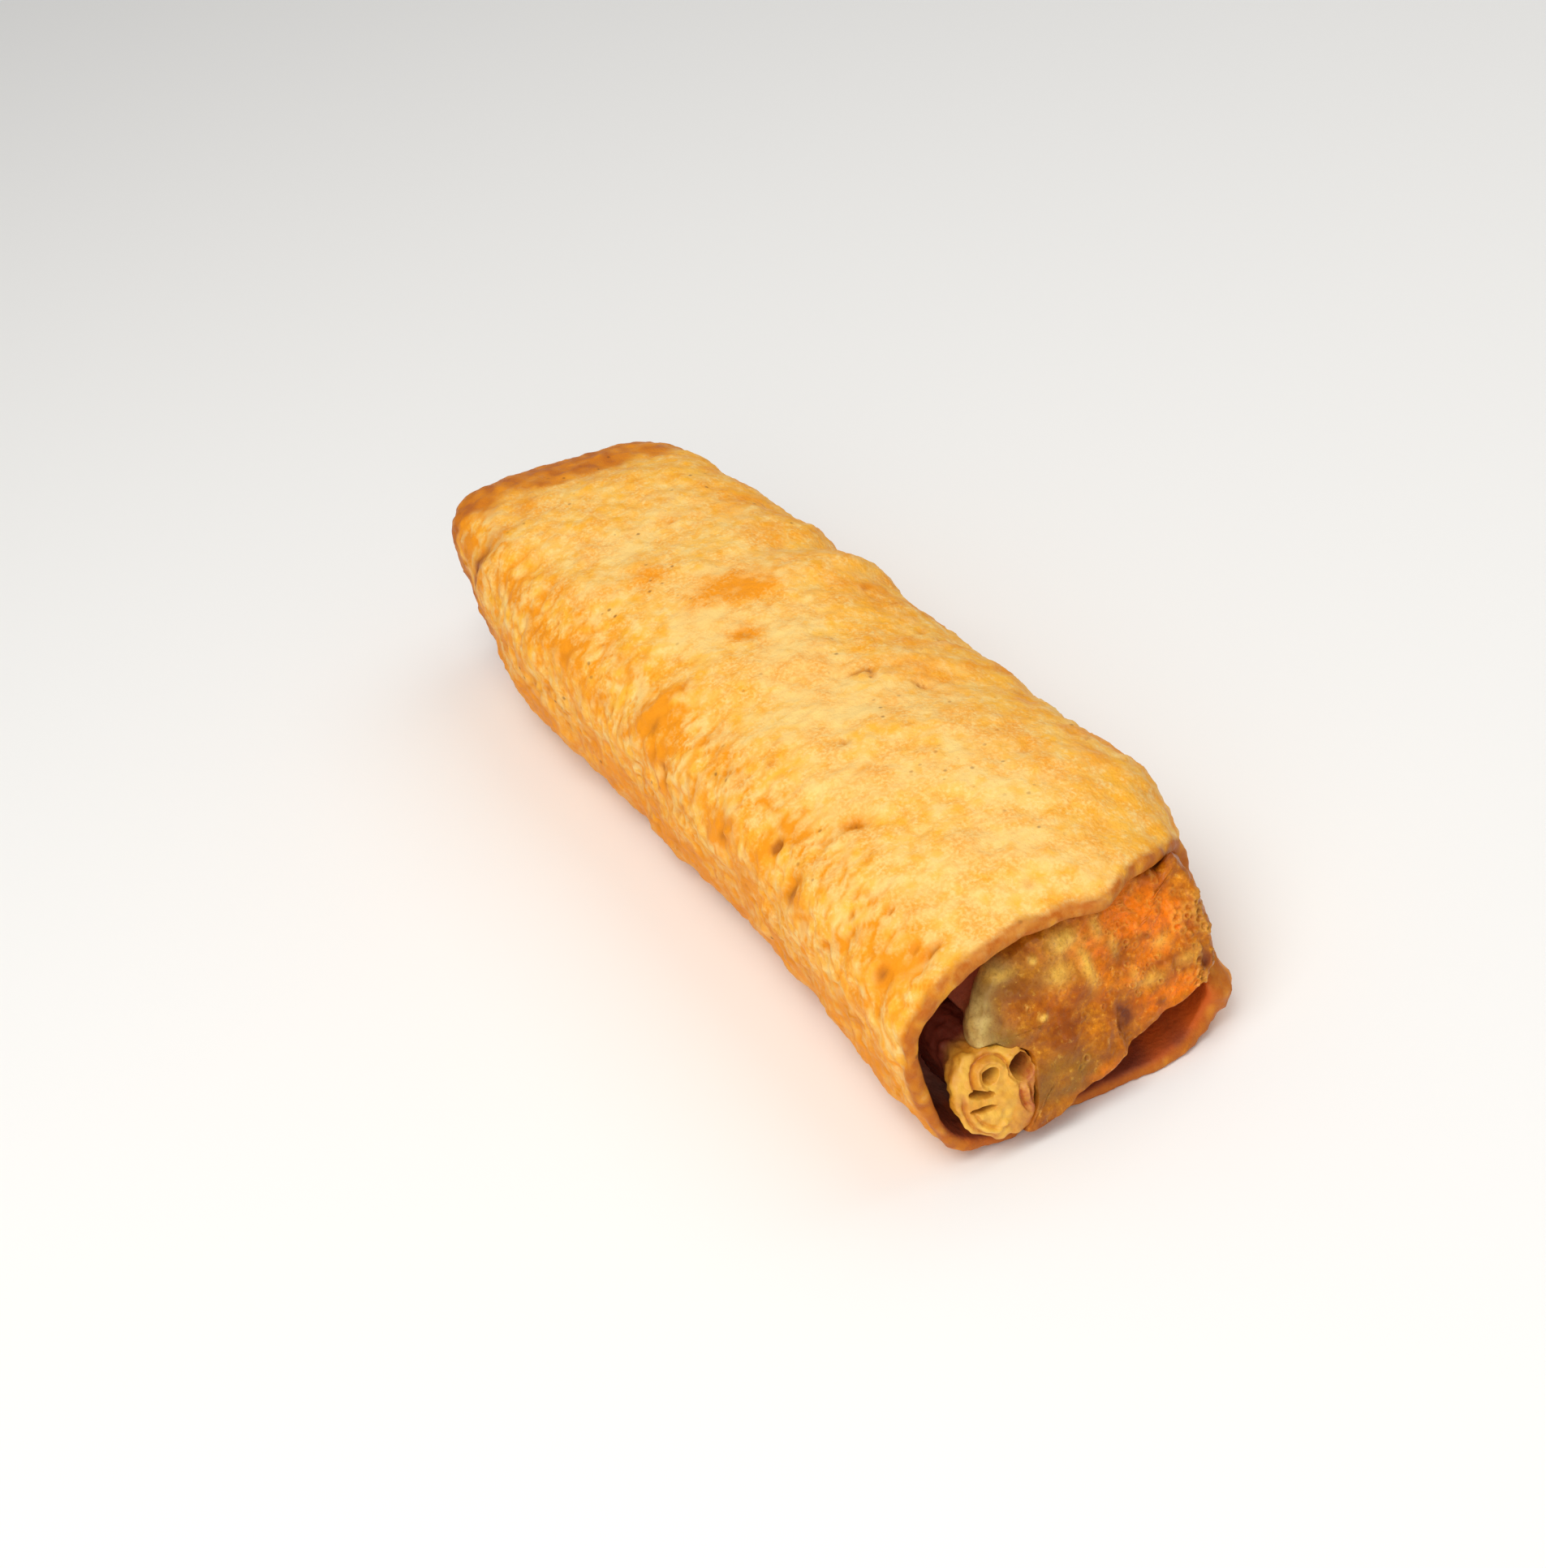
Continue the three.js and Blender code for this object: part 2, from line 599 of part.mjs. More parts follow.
// The part's origin is the middle of its footprint, on the surface that it lies on.
const eggRoll = new THREE.Group();
eggRoll.add(piece("outer_wrap", outerWrap()));
eggRoll.add(piece("inner_roll", innerRoll()));
eggRoll.add(piece("curled_edge", await curledEdge()));
const bounds = new THREE.Box3().setFromObject(eggRoll);
const middle = bounds.getCenter(new THREE.Vector3());
eggRoll.position.set(-middle.x, -middle.y, -bounds.min.z);

export default eggRoll;
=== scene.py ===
"""The looks of an egg roll: a fried roll of pastry on a pale floor, seen from above its open end.

Shapes are worked out in millimetres on grids of rows along the roll and columns round it, with the same
sizes as the frame's solids, and are put into meshes in metres. Angles round the roll start at +Y and rise
towards +Z.
"""

import bpy
import numpy as np
from mathutils import Matrix, Vector


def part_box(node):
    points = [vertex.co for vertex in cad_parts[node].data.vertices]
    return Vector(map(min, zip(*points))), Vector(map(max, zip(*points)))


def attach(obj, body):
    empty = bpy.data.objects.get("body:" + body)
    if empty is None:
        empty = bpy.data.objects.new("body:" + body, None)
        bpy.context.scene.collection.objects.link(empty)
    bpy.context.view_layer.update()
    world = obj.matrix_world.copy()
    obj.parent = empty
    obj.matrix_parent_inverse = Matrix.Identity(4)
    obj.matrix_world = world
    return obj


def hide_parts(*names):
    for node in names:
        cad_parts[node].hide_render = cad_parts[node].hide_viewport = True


bl_info = {
    "name": "Egg Roll",
    "version": (1, 0, 0),
    "blender": (4, 5, 0),
    "location": "3D View > Sidebar > Egg Roll",
    "description": "Builds an egg roll, with its blistered crust, folded flap and curled edge, and a studio",
    "category": "Object",
}

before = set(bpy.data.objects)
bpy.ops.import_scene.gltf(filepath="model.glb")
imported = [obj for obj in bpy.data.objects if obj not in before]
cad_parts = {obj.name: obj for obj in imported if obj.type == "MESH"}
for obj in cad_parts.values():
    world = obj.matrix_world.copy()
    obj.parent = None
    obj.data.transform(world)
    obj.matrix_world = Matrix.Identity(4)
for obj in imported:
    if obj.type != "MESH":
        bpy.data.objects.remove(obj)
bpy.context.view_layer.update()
MM = 0.001
TURN = 2 * np.pi

# Driving dimensions of the last turn
LENGTH = 136.5
WALL = 1.7
GAP = 0.3
LEAN = -0.107
SQUARE_BELOW = 4.5

# Place along the roll, half width, half height, sideways middle, height of the middle, squareness above,
# and the tilt of the upper side
SECTIONS = [
    (-68.25, 18.4, 12.9, 0.3, 13.1, 5.5, -0.1),
    (-40.0, 21.5, 14.45, -1.0, 13.95, 3.1, 0.0),
    (0.0, 22.0, 14.6, -0.2, 14.2, 2.45, 0.0),
    (36.0, 22.6, 14.8, -0.1, 14.4, 2.45, 0.0),
    (53.0, 22.5, 14.6, -1.0, 14.2, 2.6, 0.0),
    (61.0, 21.2, 14.1, -2.7, 13.75, 2.6, 0.0),
    (68.25, 19.8, 13.4, -4.2, 13.1, 2.6, 0.0),
]

# The columns of that table after the place, and its rows at the tucked end and at the roll's middle
HALF_WIDTH, HALF_HEIGHT, ACROSS, UP, SQUARENESS, TILT = range(1, 7)
TUCKED_SECTION = SECTIONS[0]
BODY_SECTION = SECTIONS[2]

# The tucked end: where the shoulder starts, how far in its edge reaches, and that edge's waves:
# height, waves round the roll, phase
SHOULDER_LENGTH = 7.0
SHOULDER_DEPTH = 5.0
SHOULDER_WAVES = [(1.1, 2, 0.6), (0.5, 5, 2.0)]

# The mouth's edge slants, and its waves are each an angle, a spread in degrees and how far they stand out.
MOUTH_SLANT_ACROSS = -0.8
MOUTH_SLANT_UP = -0.8
MOUTH_WAVES = [(14, 28, -8.5), (69, 9, 2.2), (86, 9, 0.9), (130, 25, 0.8), (300, 25, 1.5), (330, 8, 1.6)]

# The ragged line of the mouth's edge: height, waves round the roll, phase
MOUTH_RAGGED = [(0.08, 11, 0.4), (0.03, 23, 1.9), (0.02, 41, 3.0), (0.01, 83, 0.7)]

# Blisters, hollows and dents of the crust: place along the roll, angle, spread along, spread round, height
BLISTERS = [
    (-50.0, 60, 6.0, 8.0, 0.5),
    (-24.0, 48, 4.5, 8.0, 1.0),
    (-17.5, 46, 2.0, 7.0, -0.5),
    (-10.5, 44, 4.0, 9.0, 1.3),
    (9.0, 44, 7.0, 8.0, -0.9),
    (24.0, 42, 6.0, 9.0, -0.5),
    (3.4, 141, 3.2, 5.5, 0.7),
    (28.0, 152, 7.0, 4.0, 0.5),
    (62.0, 142, 1.3, 3.4, -0.9),
    (64.2, 130, 1.3, 3.4, -0.8),
    (-30.0, 190, 8.0, 5.0, 0.6),
    (-44.0, 330, 7.0, 6.0, 0.6),
    (20.0, 345, 8.0, 5.0, 0.7),
    (46.0, 20, 6.0, 6.0, 0.6),
    (-8.0, 15, 6.0, 5.0, -0.6),
    (67.0, 329, 4.0, 2.6, 1.7),
]

# Long soft swells of the crust: height, waves along the roll, waves round it, phase
SWELLS = [(0.16, 3.1, 2, 0.0), (0.14, 5.3, 3, 1.3), (0.1, 8.7, 5, 2.1)]

# The sealed seam low on the far side
SEAM_TIP_ANGLE = 6
SEAM_TIP_PLACE = 6.0
SEAM_RUN = 58.0
SEAM_DROP = 56
SEAM_HEIGHT = 1.2
SEAM_SOFTNESS = 3
SEAM_FADE = 42
SEAM_ENDS = (35.0, 54.0)

# How steeply down the skin faces where its relief starts to fade and where it lies flat
FLAT_BELOW = (0.75, 0.97)

# Fine wrinkles of the crust: wave length, height on the top, height on the sides. Then how many waves make up
# each, and the first one's seed.
WRINKLES = [(9.0, 0.1, 0.16), (4.2, 0.07, 0.1), (2.1, 0.05, 0.07), (1.2, 0.03, 0.04)]
WRINKLE_WAVES = 40
WRINKLE_SEED = 20

# Where the crust's sides start: the angle of its top, and how far from there the sides start and are full
SIDES = (85, 25, 70)

# The crackled left side: its angles from and to and how softly it ends, where its dry colour starts and is
# full, the cracks' random field (wave length, how many waves, seed), how much longer they are round the roll
# than along it, their depth, how narrow they are, how even that depth is, and the field that makes it uneven
CRACKLE_ANGLES = (118, 215)
CRACKLE_SOFTNESS = 14
CRACKLE_DRY = (-66.0, -56.0)
CRACKLE_FIELD = (3.0, 70, 32)
CRACKLE_STRETCH = 1.5
CRACKLE_DEPTH = 0.2
CRACKLE_NARROW = 0.42
CRACKLE_EVEN = 0.6
CRACKLE_UNEVEN_FIELD = (9.0, 40, 33)

# A burst bubble in its own sizes: its rim's radius, width and height, and its hollow's width and depth
RIM_RADIUS = 0.85
RIM_WIDTH = 0.3
RIM_HEIGHT = 0.8
HOLLOW_WIDTH = 0.55
HOLLOW_DEPTH = 0.9

# Scattered small blisters: share of all, places from and to, angles from and to, sizes, heights, and the
# share that burst
BLISTER_FIELDS = [
    (0.44, -62, 66, 0, 360, (0.45, 1.3), (0.05, 0.14), 0.25),
    (0.24, 0, 64, 122, 205, (0.5, 1.6), (0.08, 0.2), 0.15),
    (0.12, -60, 0, 130, 200, (0.5, 1.5), (0.06, 0.18), 0.2),
    (0.1, -60, 60, -30, 48, (0.5, 1.8), (0.08, 0.26), 0.4),
    (0.1, -60, 66, 225, 320, (0.6, 2.2), (0.08, 0.2), 0.3),
]

# What all of these share: their seed, how drawn out they are, how far out each is worked out in its own
# sizes, how many times the smallest size one needs for its full height, a pit's width, and the heights at
# which pits and tops show in full
BLISTER_SEED = 7
BLISTER_STRETCH = (0.7, 1.5)
BLISTER_REACH = 2.2
BLISTER_GROWN = 1.4
PIT_WIDTH = 0.6
PIT_FULL = 0.15
TOP_FULL = 0.12

# Marks that stand out on the crust: place, angle, half length, half width round, turn in degrees, height
PITS = [
    (41.3, 119, 0.7, 1.5, 50, -0.9),
    (16.2, 80, 0.5, 1.5, 20, -0.5),
    (17.4, 77, 1.4, 0.5, 20, -0.4),
    (22.8, 68, 0.4, 1.1, 60, -0.6),
    (28.5, 103, 0.4, 1.2, 75, -0.4),
    (8.9, 158, 0.7, 1.7, 10, -0.7),
    (8.0, 152, 0.5, 0.8, 0, -0.5),
    (-1.2, 96, 0.8, 1.4, 60, -0.35),
    (41.3, 150, 1.1, 2.4, 12, -0.6),
    (35.0, 141, 0.8, 1.3, 0, -0.45),
    (43.2, 64, 0.5, 0.7, 0, -0.3),
    (24.7, 156, 0.7, 1.5, 10, -0.6),
    (52.7, 137, 0.5, 0.5, 0, -0.4),
    (51.2, 133, 0.4, 0.6, 0, -0.35),
    (54.2, 141, 0.5, 0.5, 0, -0.35),
    (61.0, 142, 0.7, 1.4, 0, -0.65),
    (63.7, 124, 0.5, 2.0, 0, -0.7),
    (62.3, 128, 0.45, 1.1, 0, -0.45),
    (56.2, 127, 0.45, 0.6, 0, -0.4),
    (35.2, 142, 0.55, 0.9, 0, -0.4),
    (4.0, 141, 1.2, 1.6, 0, -0.4),
    (-50.6, 146, 1.0, 5.0, 8, -0.5),
]
BUMPS = [
    (32.8, 120, 0.9, 2.0, 15, 0.3),
    (33.6, 113, 0.9, 1.8, -10, 0.3),
    (42.6, 124, 0.8, 1.1, 40, 0.35),
    (10.2, 153, 0.6, 1.4, 10, 0.35),
    (26.0, 151, 0.5, 0.9, 10, 0.35),
    (-16.0, 60, 2.4, 1.6, 0, 0.4),
    (6.0, 118, 2.0, 1.2, 30, 0.15),
]

# The height or depth at which a mark shows in full
MARK_FULL = 0.5

# Orange patches of the crust: place, angle, half length, half width round, strength
ORANGE_PATCHES = [
    (-12.1, 86, 3.2, 4.8, 0.9),
    (-9.0, 79, 2.0, 3.0, 0.7),
    (-1.2, 96, 1.5, 2.2, 0.9),
    (-22.5, 102, 2.6, 2.4, 0.6),
    (3.4, 141, 3.4, 5.0, 0.6),
    (8.9, 160, 1.8, 2.4, 0.9),
    (24.7, 157, 1.8, 2.8, 0.7),
    (41.3, 150, 1.4, 2.4, 0.6),
    (20.0, 62, 5.0, 3.5, 0.5),
    (41.3, 119, 1.1, 1.9, 0.6),
    (61.4, 142, 1.7, 3.2, 0.9),
    (63.6, 134, 1.4, 2.6, 0.7),
    (34.0, 152, 2.5, 3.5, 0.5),
    (-34.0, 45, 6.0, 4.0, 0.5),
    (-4.0, 50, 6.0, 3.0, 0.45),
]

# Random fields that the crust's colours follow, from broad to small: wave length, how many waves, seed
CRUST_FIELDS = [(14.0, 40, 41), (6.0, 60, 42), (2.6, 60, 43)]

# Where the crust is painted browner and more orange on its low sides as shade, and orange in strewn spots, as
# for the sides above. How far the seam's browning spreads in degrees, one browned fold as an oval, and the
# pale top's middle angle and spread, where painted light lies.
SHADED_LOW_SIDES = (90, 68, 115)
STREWN_SIDES = (92, 22, 60)
SEAM_BROWN = 4
FOLD_BROWN = (-50.6, 148, 1.6, 7.0, 8)
PAINTED_TOP_LIGHT = (95, 38)

# Between which values each of the crust's colours grows: places, slopes, distances or random fields
CRUST_STEPS = {
    "far end": (52.0, 64.0),
    "lip": (0.4, 1.9),
    "underside": (0.45, 0.95),
    "strewn": (0.1, 1.6),
    "near top": (-52.0, -22.0),
    "drifting top": (-1.0, 0.8),
    "light specks": (0.3, 1.4),
    "dark specks": (0.5, 1.6),
    "dry crackle": (-0.8, 1.2),
    "below": (0.1, 0.6),
    "bore": (0.1, 2.2),
    "bore end": (-LENGTH / 2, -LENGTH / 2 + 1.5),
    # maroon: where the painted shade at the bore's left starts and is full
    "maroon": (-13.0, -3.0),
    "maroon gaps": (0.4, 1.4),
    # deep bore: where the bore's painted light, lighter further in, starts and is full
    "deep bore": (2.4, 6.0),
}

# How much the random fields shift where a colour grows, or change how strong it is
CRUST_UNEVEN = {"far end": 1.5, "lip": 0.2, "patches": 0.3, "toast": 0.25, "maroon": 1.5, "strewn": 0.6}

# The share that each kind of place has in each of the crust's colours. The top's, the drifting top's and the
# blister tops' shares of pale gold are painted light, and the low sides' shares are painted shade.
CRUST_SHARES = {
    "toast": {"far end": 0.75, "shaded low sides": 0.12, "lip": 0.95, "seam": 0.35, "underside": 0.3, "fold": 0.6,
              "mottled sides": 0.08, "pits": 0.25},
    "amber": {"patches": 1.0, "strewn": 0.12, "strewn sides": 0.4, "pits": 0.5, "far end": 1.0, "cracks": 0.7,
              "shaded low sides": 0.45},
    "pale_gold": {"top": 0.45, "drifting top": 0.5, "blister tops": 0.5, "light specks": 0.35,
                  "dark specks": -0.35, "dry crackle": 0.45},
    "scorch": {"strewn pits": 0.1, "mark pits": 0.5},
}

# The bore's fine roughness: height, wave length, how many waves, seed
BORE_ROUGHNESS = [(0.035, 2.5, 30, 31)]

# The flap at the mouth: the outline's middle, and its reach from there by angle
FLAP_MIDDLE = (0.0, 13.3)
FLAP_REACH = [
    (1, 15.9), (13, 16.2), (22, 16.7), (31, 17.3), (40, 16.6), (52, 13.4), (70, 10.9), (90, 9.9), (110, 10.2),
    (128, 10.9), (144, 12.3), (156, 13.4), (168, 14.2), (178, 15.2), (186, 15.8), (228, 15.4), (238, 11.8),
    (256, 9.2), (284, 7.9), (312, 8.4), (329, 10.2), (339, 12.8), (347, 15.0),
]
FLAP_NARROWS_FROM = 47.0
FLAP_NARROWS_TO = 57.5

# Behind their edges the left sides of the flap and of the curled edge are drawn in: the angle, its spread,
# how far in, and over what length
FLAP_NECK = (152, 36, 4.5, 5.0)
CURL_NECK = (185, 55, 2.4, 3.5)

# The flap's face: how far out its foot stands, at what height, how it slopes back under the lip, and its
# rounded edge's depth and pull. Beside the curled edge that rounding is tighter: angle, spread, and the share
# taken off. Then how much its left side is set back.
FACE_FOOT = 71.5
FACE_FOOT_HEIGHT = 5.0
FACE_SLOPE = 0.3
FACE_BEND = 0.004
FACE_EDGE = 1.7
FACE_EDGE_PULL = 0.055
FACE_EDGE_TIGHT = (212, 24, 0.7)
FACE_LEFT_SET_BACK = 0.006

# The crease where the flap's left sheet laps over its right one, and how wide the dip beside it is
CREASE_ACROSS = 1.6
CREASE_WIDTH = 0.6
CREASE_TOP = 13.0
CREASE_FADE = 4.0
CREASE_STEP = 0.6
CREASE_DIP = 9.0

# Bumps, pits and ridges of the flap's face: across, up, half width, half height, turn in degrees, height
FLAP_MARKS = [
    (-2.3, 20.5, 1.9, 1.3, 20, 0.5),
    (-3.7, 17.5, 1.6, 1.3, 10, 0.3),
    (-0.3, 17.0, 0.8, 2.4, 5, 0.4),
    (2.0, 20.2, 0.8, 1.6, -10, 0.3),
    (-6.2, 19.9, 0.45, 0.45, 0, 0.45),
    (-4.8, 21.6, 0.8, 0.6, 0, 0.5),
    (4.7, 13.7, 1.0, 1.5, -10, 0.4),
    (9.3, 13.0, 0.5, 0.5, 0, 0.4),
    (7.1, 12.4, 0.6, 0.5, 0, 0.3),
    (-14.9, 15.9, 0.5, 0.7, 0, 0.35),
    (-16.2, 14.2, 0.5, 0.5, 0, 0.45),
    (-7.0, 13.7, 0.45, 0.3, 40, 0.3),
    (-2.5, 11.8, 0.5, 0.25, 20, 0.25),
    (-9.9, 12.7, 2.6, 0.9, 25, 0.35),
    (9.7, 18.6, 2.2, 1.5, 0, 0.35),
    (13.8, 11.4, 0.8, 0.9, 0, -0.6),
    (2.4, 9.6, 0.9, 2.2, 10, -0.4),
    (5.5, 10.4, 2.8, 1.2, 20, 0.25),
    (-7.5, 8.4, 4.0, 2.0, 10, 0.35),
    (-1.0, 7.2, 1.0, 0.8, 0, 0.3),
    (1.2, 6.6, 0.8, 0.9, 0, 0.25),
]

# Where the flap's colour changes: across, up, half width, half height and strength of each oval
FLAP_OVALS = {
    # orange: the bright patches at the top right and near the bottom edge are partly a painted highlight; the
    # rest are orange patches
    "orange": [
        (5.0, 20.6, 4.5, 2.6, 1.0),
        (10.0, 17.5, 3.6, 3.0, 0.8),
        (1.2, 15.0, 1.5, 2.5, 0.4),
        (8.0, 14.5, 3.0, 1.6, 0.5),
        (4.7, 13.7, 1.6, 1.6, 0.7),
        (6.0, 9.6, 5.0, 1.8, 0.45),
        (11.0, 10.2, 3.0, 1.4, 0.6),
        (0.5, 18.8, 4.0, 2.2, 0.45),
        (-5.0, 15.4, 3.0, 1.6, 0.25),
        (-2.0, 5.4, 3.0, 0.7, 0.6),
        (-5.5, 4.0, 3.0, 0.7, 0.4),
    ],
    # pale: bumps, beads and crumbs, their pale partly a painted highlight
    "pale": [
        (-2.3, 20.5, 1.7, 1.1, 1.0),
        (-3.7, 17.5, 1.7, 1.4, 0.65),
        (-0.3, 17.0, 0.8, 2.3, 0.7),
        (2.0, 20.2, 0.8, 1.4, 0.6),
        (-6.2, 19.9, 0.5, 0.5, 0.9),
        (-14.9, 15.9, 0.5, 0.8, 0.9),
        (-16.2, 14.2, 0.6, 0.6, 1.0),
        (-7.0, 13.7, 0.5, 0.35, 1.0),
        (4.7, 13.9, 0.7, 1.0, 0.4),
        (-10.5, 19.6, 2.0, 0.6, 0.6),
        (6.4, 12.4, 1.8, 0.8, 0.45),
        (9.0, 15.6, 1.2, 0.9, 0.4),
        (3.4, 17.8, 0.7, 1.4, 0.4),
        (11.6, 12.8, 1.6, 0.7, 0.4),
    ],
    # olive: along the left edge partly a painted grey sheen, low on the left an olive-brown tone
    "olive": [
        (-13.5, 16.0, 2.0, 4.0, 0.9),
        (-11.0, 19.0, 2.6, 2.0, 0.7),
        (-6.8, 17.6, 2.2, 2.0, 0.35),
        (-11.5, 12.6, 2.4, 1.8, 0.6),
        (-7.0, 6.4, 4.6, 2.8, 1.0),
    ],
    "shade": [
        (2.5, 9.4, 1.3, 2.4, 0.9),
        (13.8, 11.3, 0.9, 1.0, 0.9),
        (3.6, 15.9, 0.9, 1.0, 0.35),
        (9.3, 13.6, 3.2, 0.5, 0.4),
        (-13.0, 21.0, 2.0, 2.0, 0.4),
        (-3.0, 11.7, 3.5, 0.45, 0.35),
    ],
    # painted sheen: a pale reflection painted along the flap's oiled left edge
    "sheen": [
        (-14.2, 17.2, 1.7, 3.6, 1.0),
        (-12.0, 20.2, 2.6, 1.2, 0.8),
        (-15.0, 12.6, 1.2, 2.0, 0.7),
    ],
}

# Along the roll, where the flap's colours and lumps are full, and where the tucked end's start and are full.
# How far behind its face the flap's deep colour starts and is full: a painted colour for the shaded gap
# behind the flap's edge, lighter than the flap to make up for the light that does not reach there.
FLAP_FULL = 64.0
TUCKED_BAND = (LENGTH / 2 - 3.0, LENGTH / 2 - 1.0)
FLAP_DEEP = (FACE_EDGE * 0.6, 9.0)

# Random fields that the flap's colours follow: wave length, how many waves, seed. Then how uneven each
# colour is and by which field, the share and range of the orange that is strewn by the broad one, and
# the shares of the pale marks and of the bubbles' pale rings, both partly painted highlight.
FLAP_FIELDS = {"small": (1.6, 60, 56), "mottle": (4.0, 60, 57)}
FLAP_UNEVEN = {
    "orange": (0.25, "small"), "pale": (0.0, "small"), "olive": (0.2, "mottle"), "sheen": (0.2, "small"),
    "shade": (0.3, "small"),
}
FLAP_STREWN_SHARE = 0.12
FLAP_STREWN = (0.2, 1.8)
FLAP_PALE_SHARES = (1.3, 0.35)

# Fine lumps of the flap, and of the folds at the tucked end: height, wave length, how many waves, seed
FLAP_LUMPS = [(0.1, 4.5, 40, 51), (0.05, 2.0, 50, 52), (0.02, 0.9, 60, 53)]
END_LUMPS = [(0.18, 5.0, 40, 54), (0.08, 2.2, 40, 55)]

# Scattered bubbles of the flap: how many, across from and to, up from and to, sizes, heights, and the share
# that burst. Then their seed, how drawn out they are, and the height at which their rings show in full.
FLAP_BUBBLE_FIELDS = [
    (260, 2.0, 15.5, 12.5, 23.5, (0.2, 0.45), (0.04, 0.16), 0.3),
    (70, 11.5, 15.8, 8.0, 20.0, (0.25, 0.7), (0.12, 0.32), 0.4),
    (120, -15.0, 3.0, 5.0, 22.5, (0.2, 0.5), (0.03, 0.1), 0.3),
    (40, 2.0, 14.0, 4.5, 12.0, (0.25, 0.6), (0.05, 0.16), 0.3),
]
FLAP_BUBBLE_SEED = 11
FLAP_BUBBLE_STRETCH = (0.75, 1.3)
FLAP_RING_FULL = 0.25

# The curled edge: its middle, its reach from there by angle, and its back. Its front slopes as the flap
# does: how far out its foot stands, at what height, its slope, its rounded rim, where that is tighter, and
# its dome.
CURL_MIDDLE = (-14.6, 7.6)
CURL_REACH = [
    (11, 5.2), (26, 5.7), (57, 5.1), (80, 5.3), (104, 5.4), (126, 6.0), (141, 5.8), (160, 5.5), (190, 5.1),
    (216, 4.8), (246, 4.8), (277, 5.1), (300, 5.5), (322, 5.1), (349, 4.8),
]
CURL_BACK = 58.0
CURL_FOOT = 71.4
CURL_FOOT_HEIGHT = 3.5
CURL_SLOPE = 0.33
CURL_EDGE = 0.9
CURL_EDGE_PULL = 0.16
CURL_EDGE_TIGHT = (35, 48, 0.65)
CURL_DOME = 0.3

# Holes in the curled edge: middle across and up, half width, half height, turn in degrees, depth
CURL_HOLES = [
    (-14.9, 10.3, 1.0, 0.8, 20, 4.0),
    (-11.0, 9.6, 1.3, 1.5, 15, 4.0),
    (-16.5, 8.8, 1.5, 0.5, -20, 3.0),
    (-16.8, 7.2, 1.5, 0.35, -8, 2.2),
]

# Ridges and grooves of the curled edge: middle across and up, radius, half width, from and to angles, height
CURL_ARCS = [
    (-14.9, 10.3, 1.6, 0.34, -10, 250, 0.6),
    (-14.9, 10.3, 2.3, 0.2, -30, 230, -0.5),
    (-14.6, 7.6, 4.3, 0.3, 150, 262, -0.5),
    (-14.6, 7.6, 3.3, 0.22, 175, 290, -0.3),
    (-8.6, 6.4, 2.2, 0.2, 145, 222, -0.5),
    (-8.6, 6.4, 2.8, 0.26, 140, 225, 0.4),
    (-8.6, 6.4, 3.5, 0.22, 145, 222, -0.5),
    (-11.2, 9.7, 1.8, 0.3, 60, 250, 0.4),
    (-15.8, 6.0, 1.6, 0.4, 190, 330, 0.35),
]

# Over how many degrees an arc fades at its ends, and between which of its own sizes a hole's wall falls
CURL_ARC_FADE = 25
CURL_HOLE_WALL = (0.7, 1.12)

# How far behind its front the curled edge's relief fades, and how far behind it is painted dark as shade; its
# browned side, as places from and to and how that slants; the random field and range of its browned spots;
# and the share that each of these and its grooves has in its browning, the grooves' share being painted shade
CURL_FRONT = (0.2, CURL_EDGE)
CURL_BEHIND = (1.5, 5.0)
CURL_BROWN_SIDE = (-13.5, -9.5)
CURL_BROWN_SLANT = 0.4
CURL_BROWN_FIELD = (2.6, 50, 63)
CURL_BROWN_SPOTS = (0.4, 1.8)
# the grooves' share darkens them as painted shade
CURL_BROWN_SHARES = {"grooves": 1.3, "spots": 0.3, "side": 0.8}

# The curled edge's wavy outline: height, waves round it, phase. And its lumps, as the flap's.
CURL_WOBBLE = [(0.02, 7, 1.0), (0.012, 13, 0.0)]
CURL_LUMPS = [(0.1, 2.2, 50, 61), (0.05, 1.0, 60, 62)]

# The tucked end's face: how far it bulges, and the fold across it: its step, softness and slope
END_BULGE = 1.6
END_FOLD_STEP = 0.7
END_FOLD_SOFTNESS = 1.2
END_FOLD_SLOPE = -0.9

# The camera, in millimetres and degrees: its direction from the roll, distance, tilt and sideways offsets
CAMERA_AZIMUTH = -22.83
CAMERA_ELEVATION = 35.09
CAMERA_ROLL = -10.66
CAMERA_DISTANCE = 347.0
CAMERA_HEIGHT = 14.0
CAMERA_OFFSET_RIGHT = 2.7
CAMERA_OFFSET_UP = 8.2
CAMERA_LENS = 61.89
SENSOR_WIDTH = 36.0

# The studio's square lights, in metres: place, side, colour. And the floor's half width, how far below the
# roll it lies, and its roughness.
LIGHTS = {
    "key": ((0.18, -0.24, 0.6), 0.4, (1.0, 0.97, 0.92)),
    "fill": ((0.5, -0.36, 0.33), 0.6, (1.0, 0.98, 0.95)),
    "top": ((-0.05, 0.35, 0.6), 0.5, (1.0, 0.99, 0.97)),
}
FLOOR_HALF = 3.0
FLOOR_DROP = 0.0001
FLOOR_ROUGHNESS = 0.7


def linear(red, green, blue):
    """A colour given in display steps of 0 to 255, as linear light."""
    steps = np.array([red, green, blue]) / 255
    return tuple(np.where(steps <= 0.04045, steps / 12.92, ((steps + 0.055) / 1.055) ** 2.4).tolist())


def smoothstep(value, low, high):
    """0 below low, 1 above high, and 3t^2 - 2t^3 between them."""
    t = np.clip((value - low) / (high - low), 0, 1)
    return t * t * (3 - 2 * t)


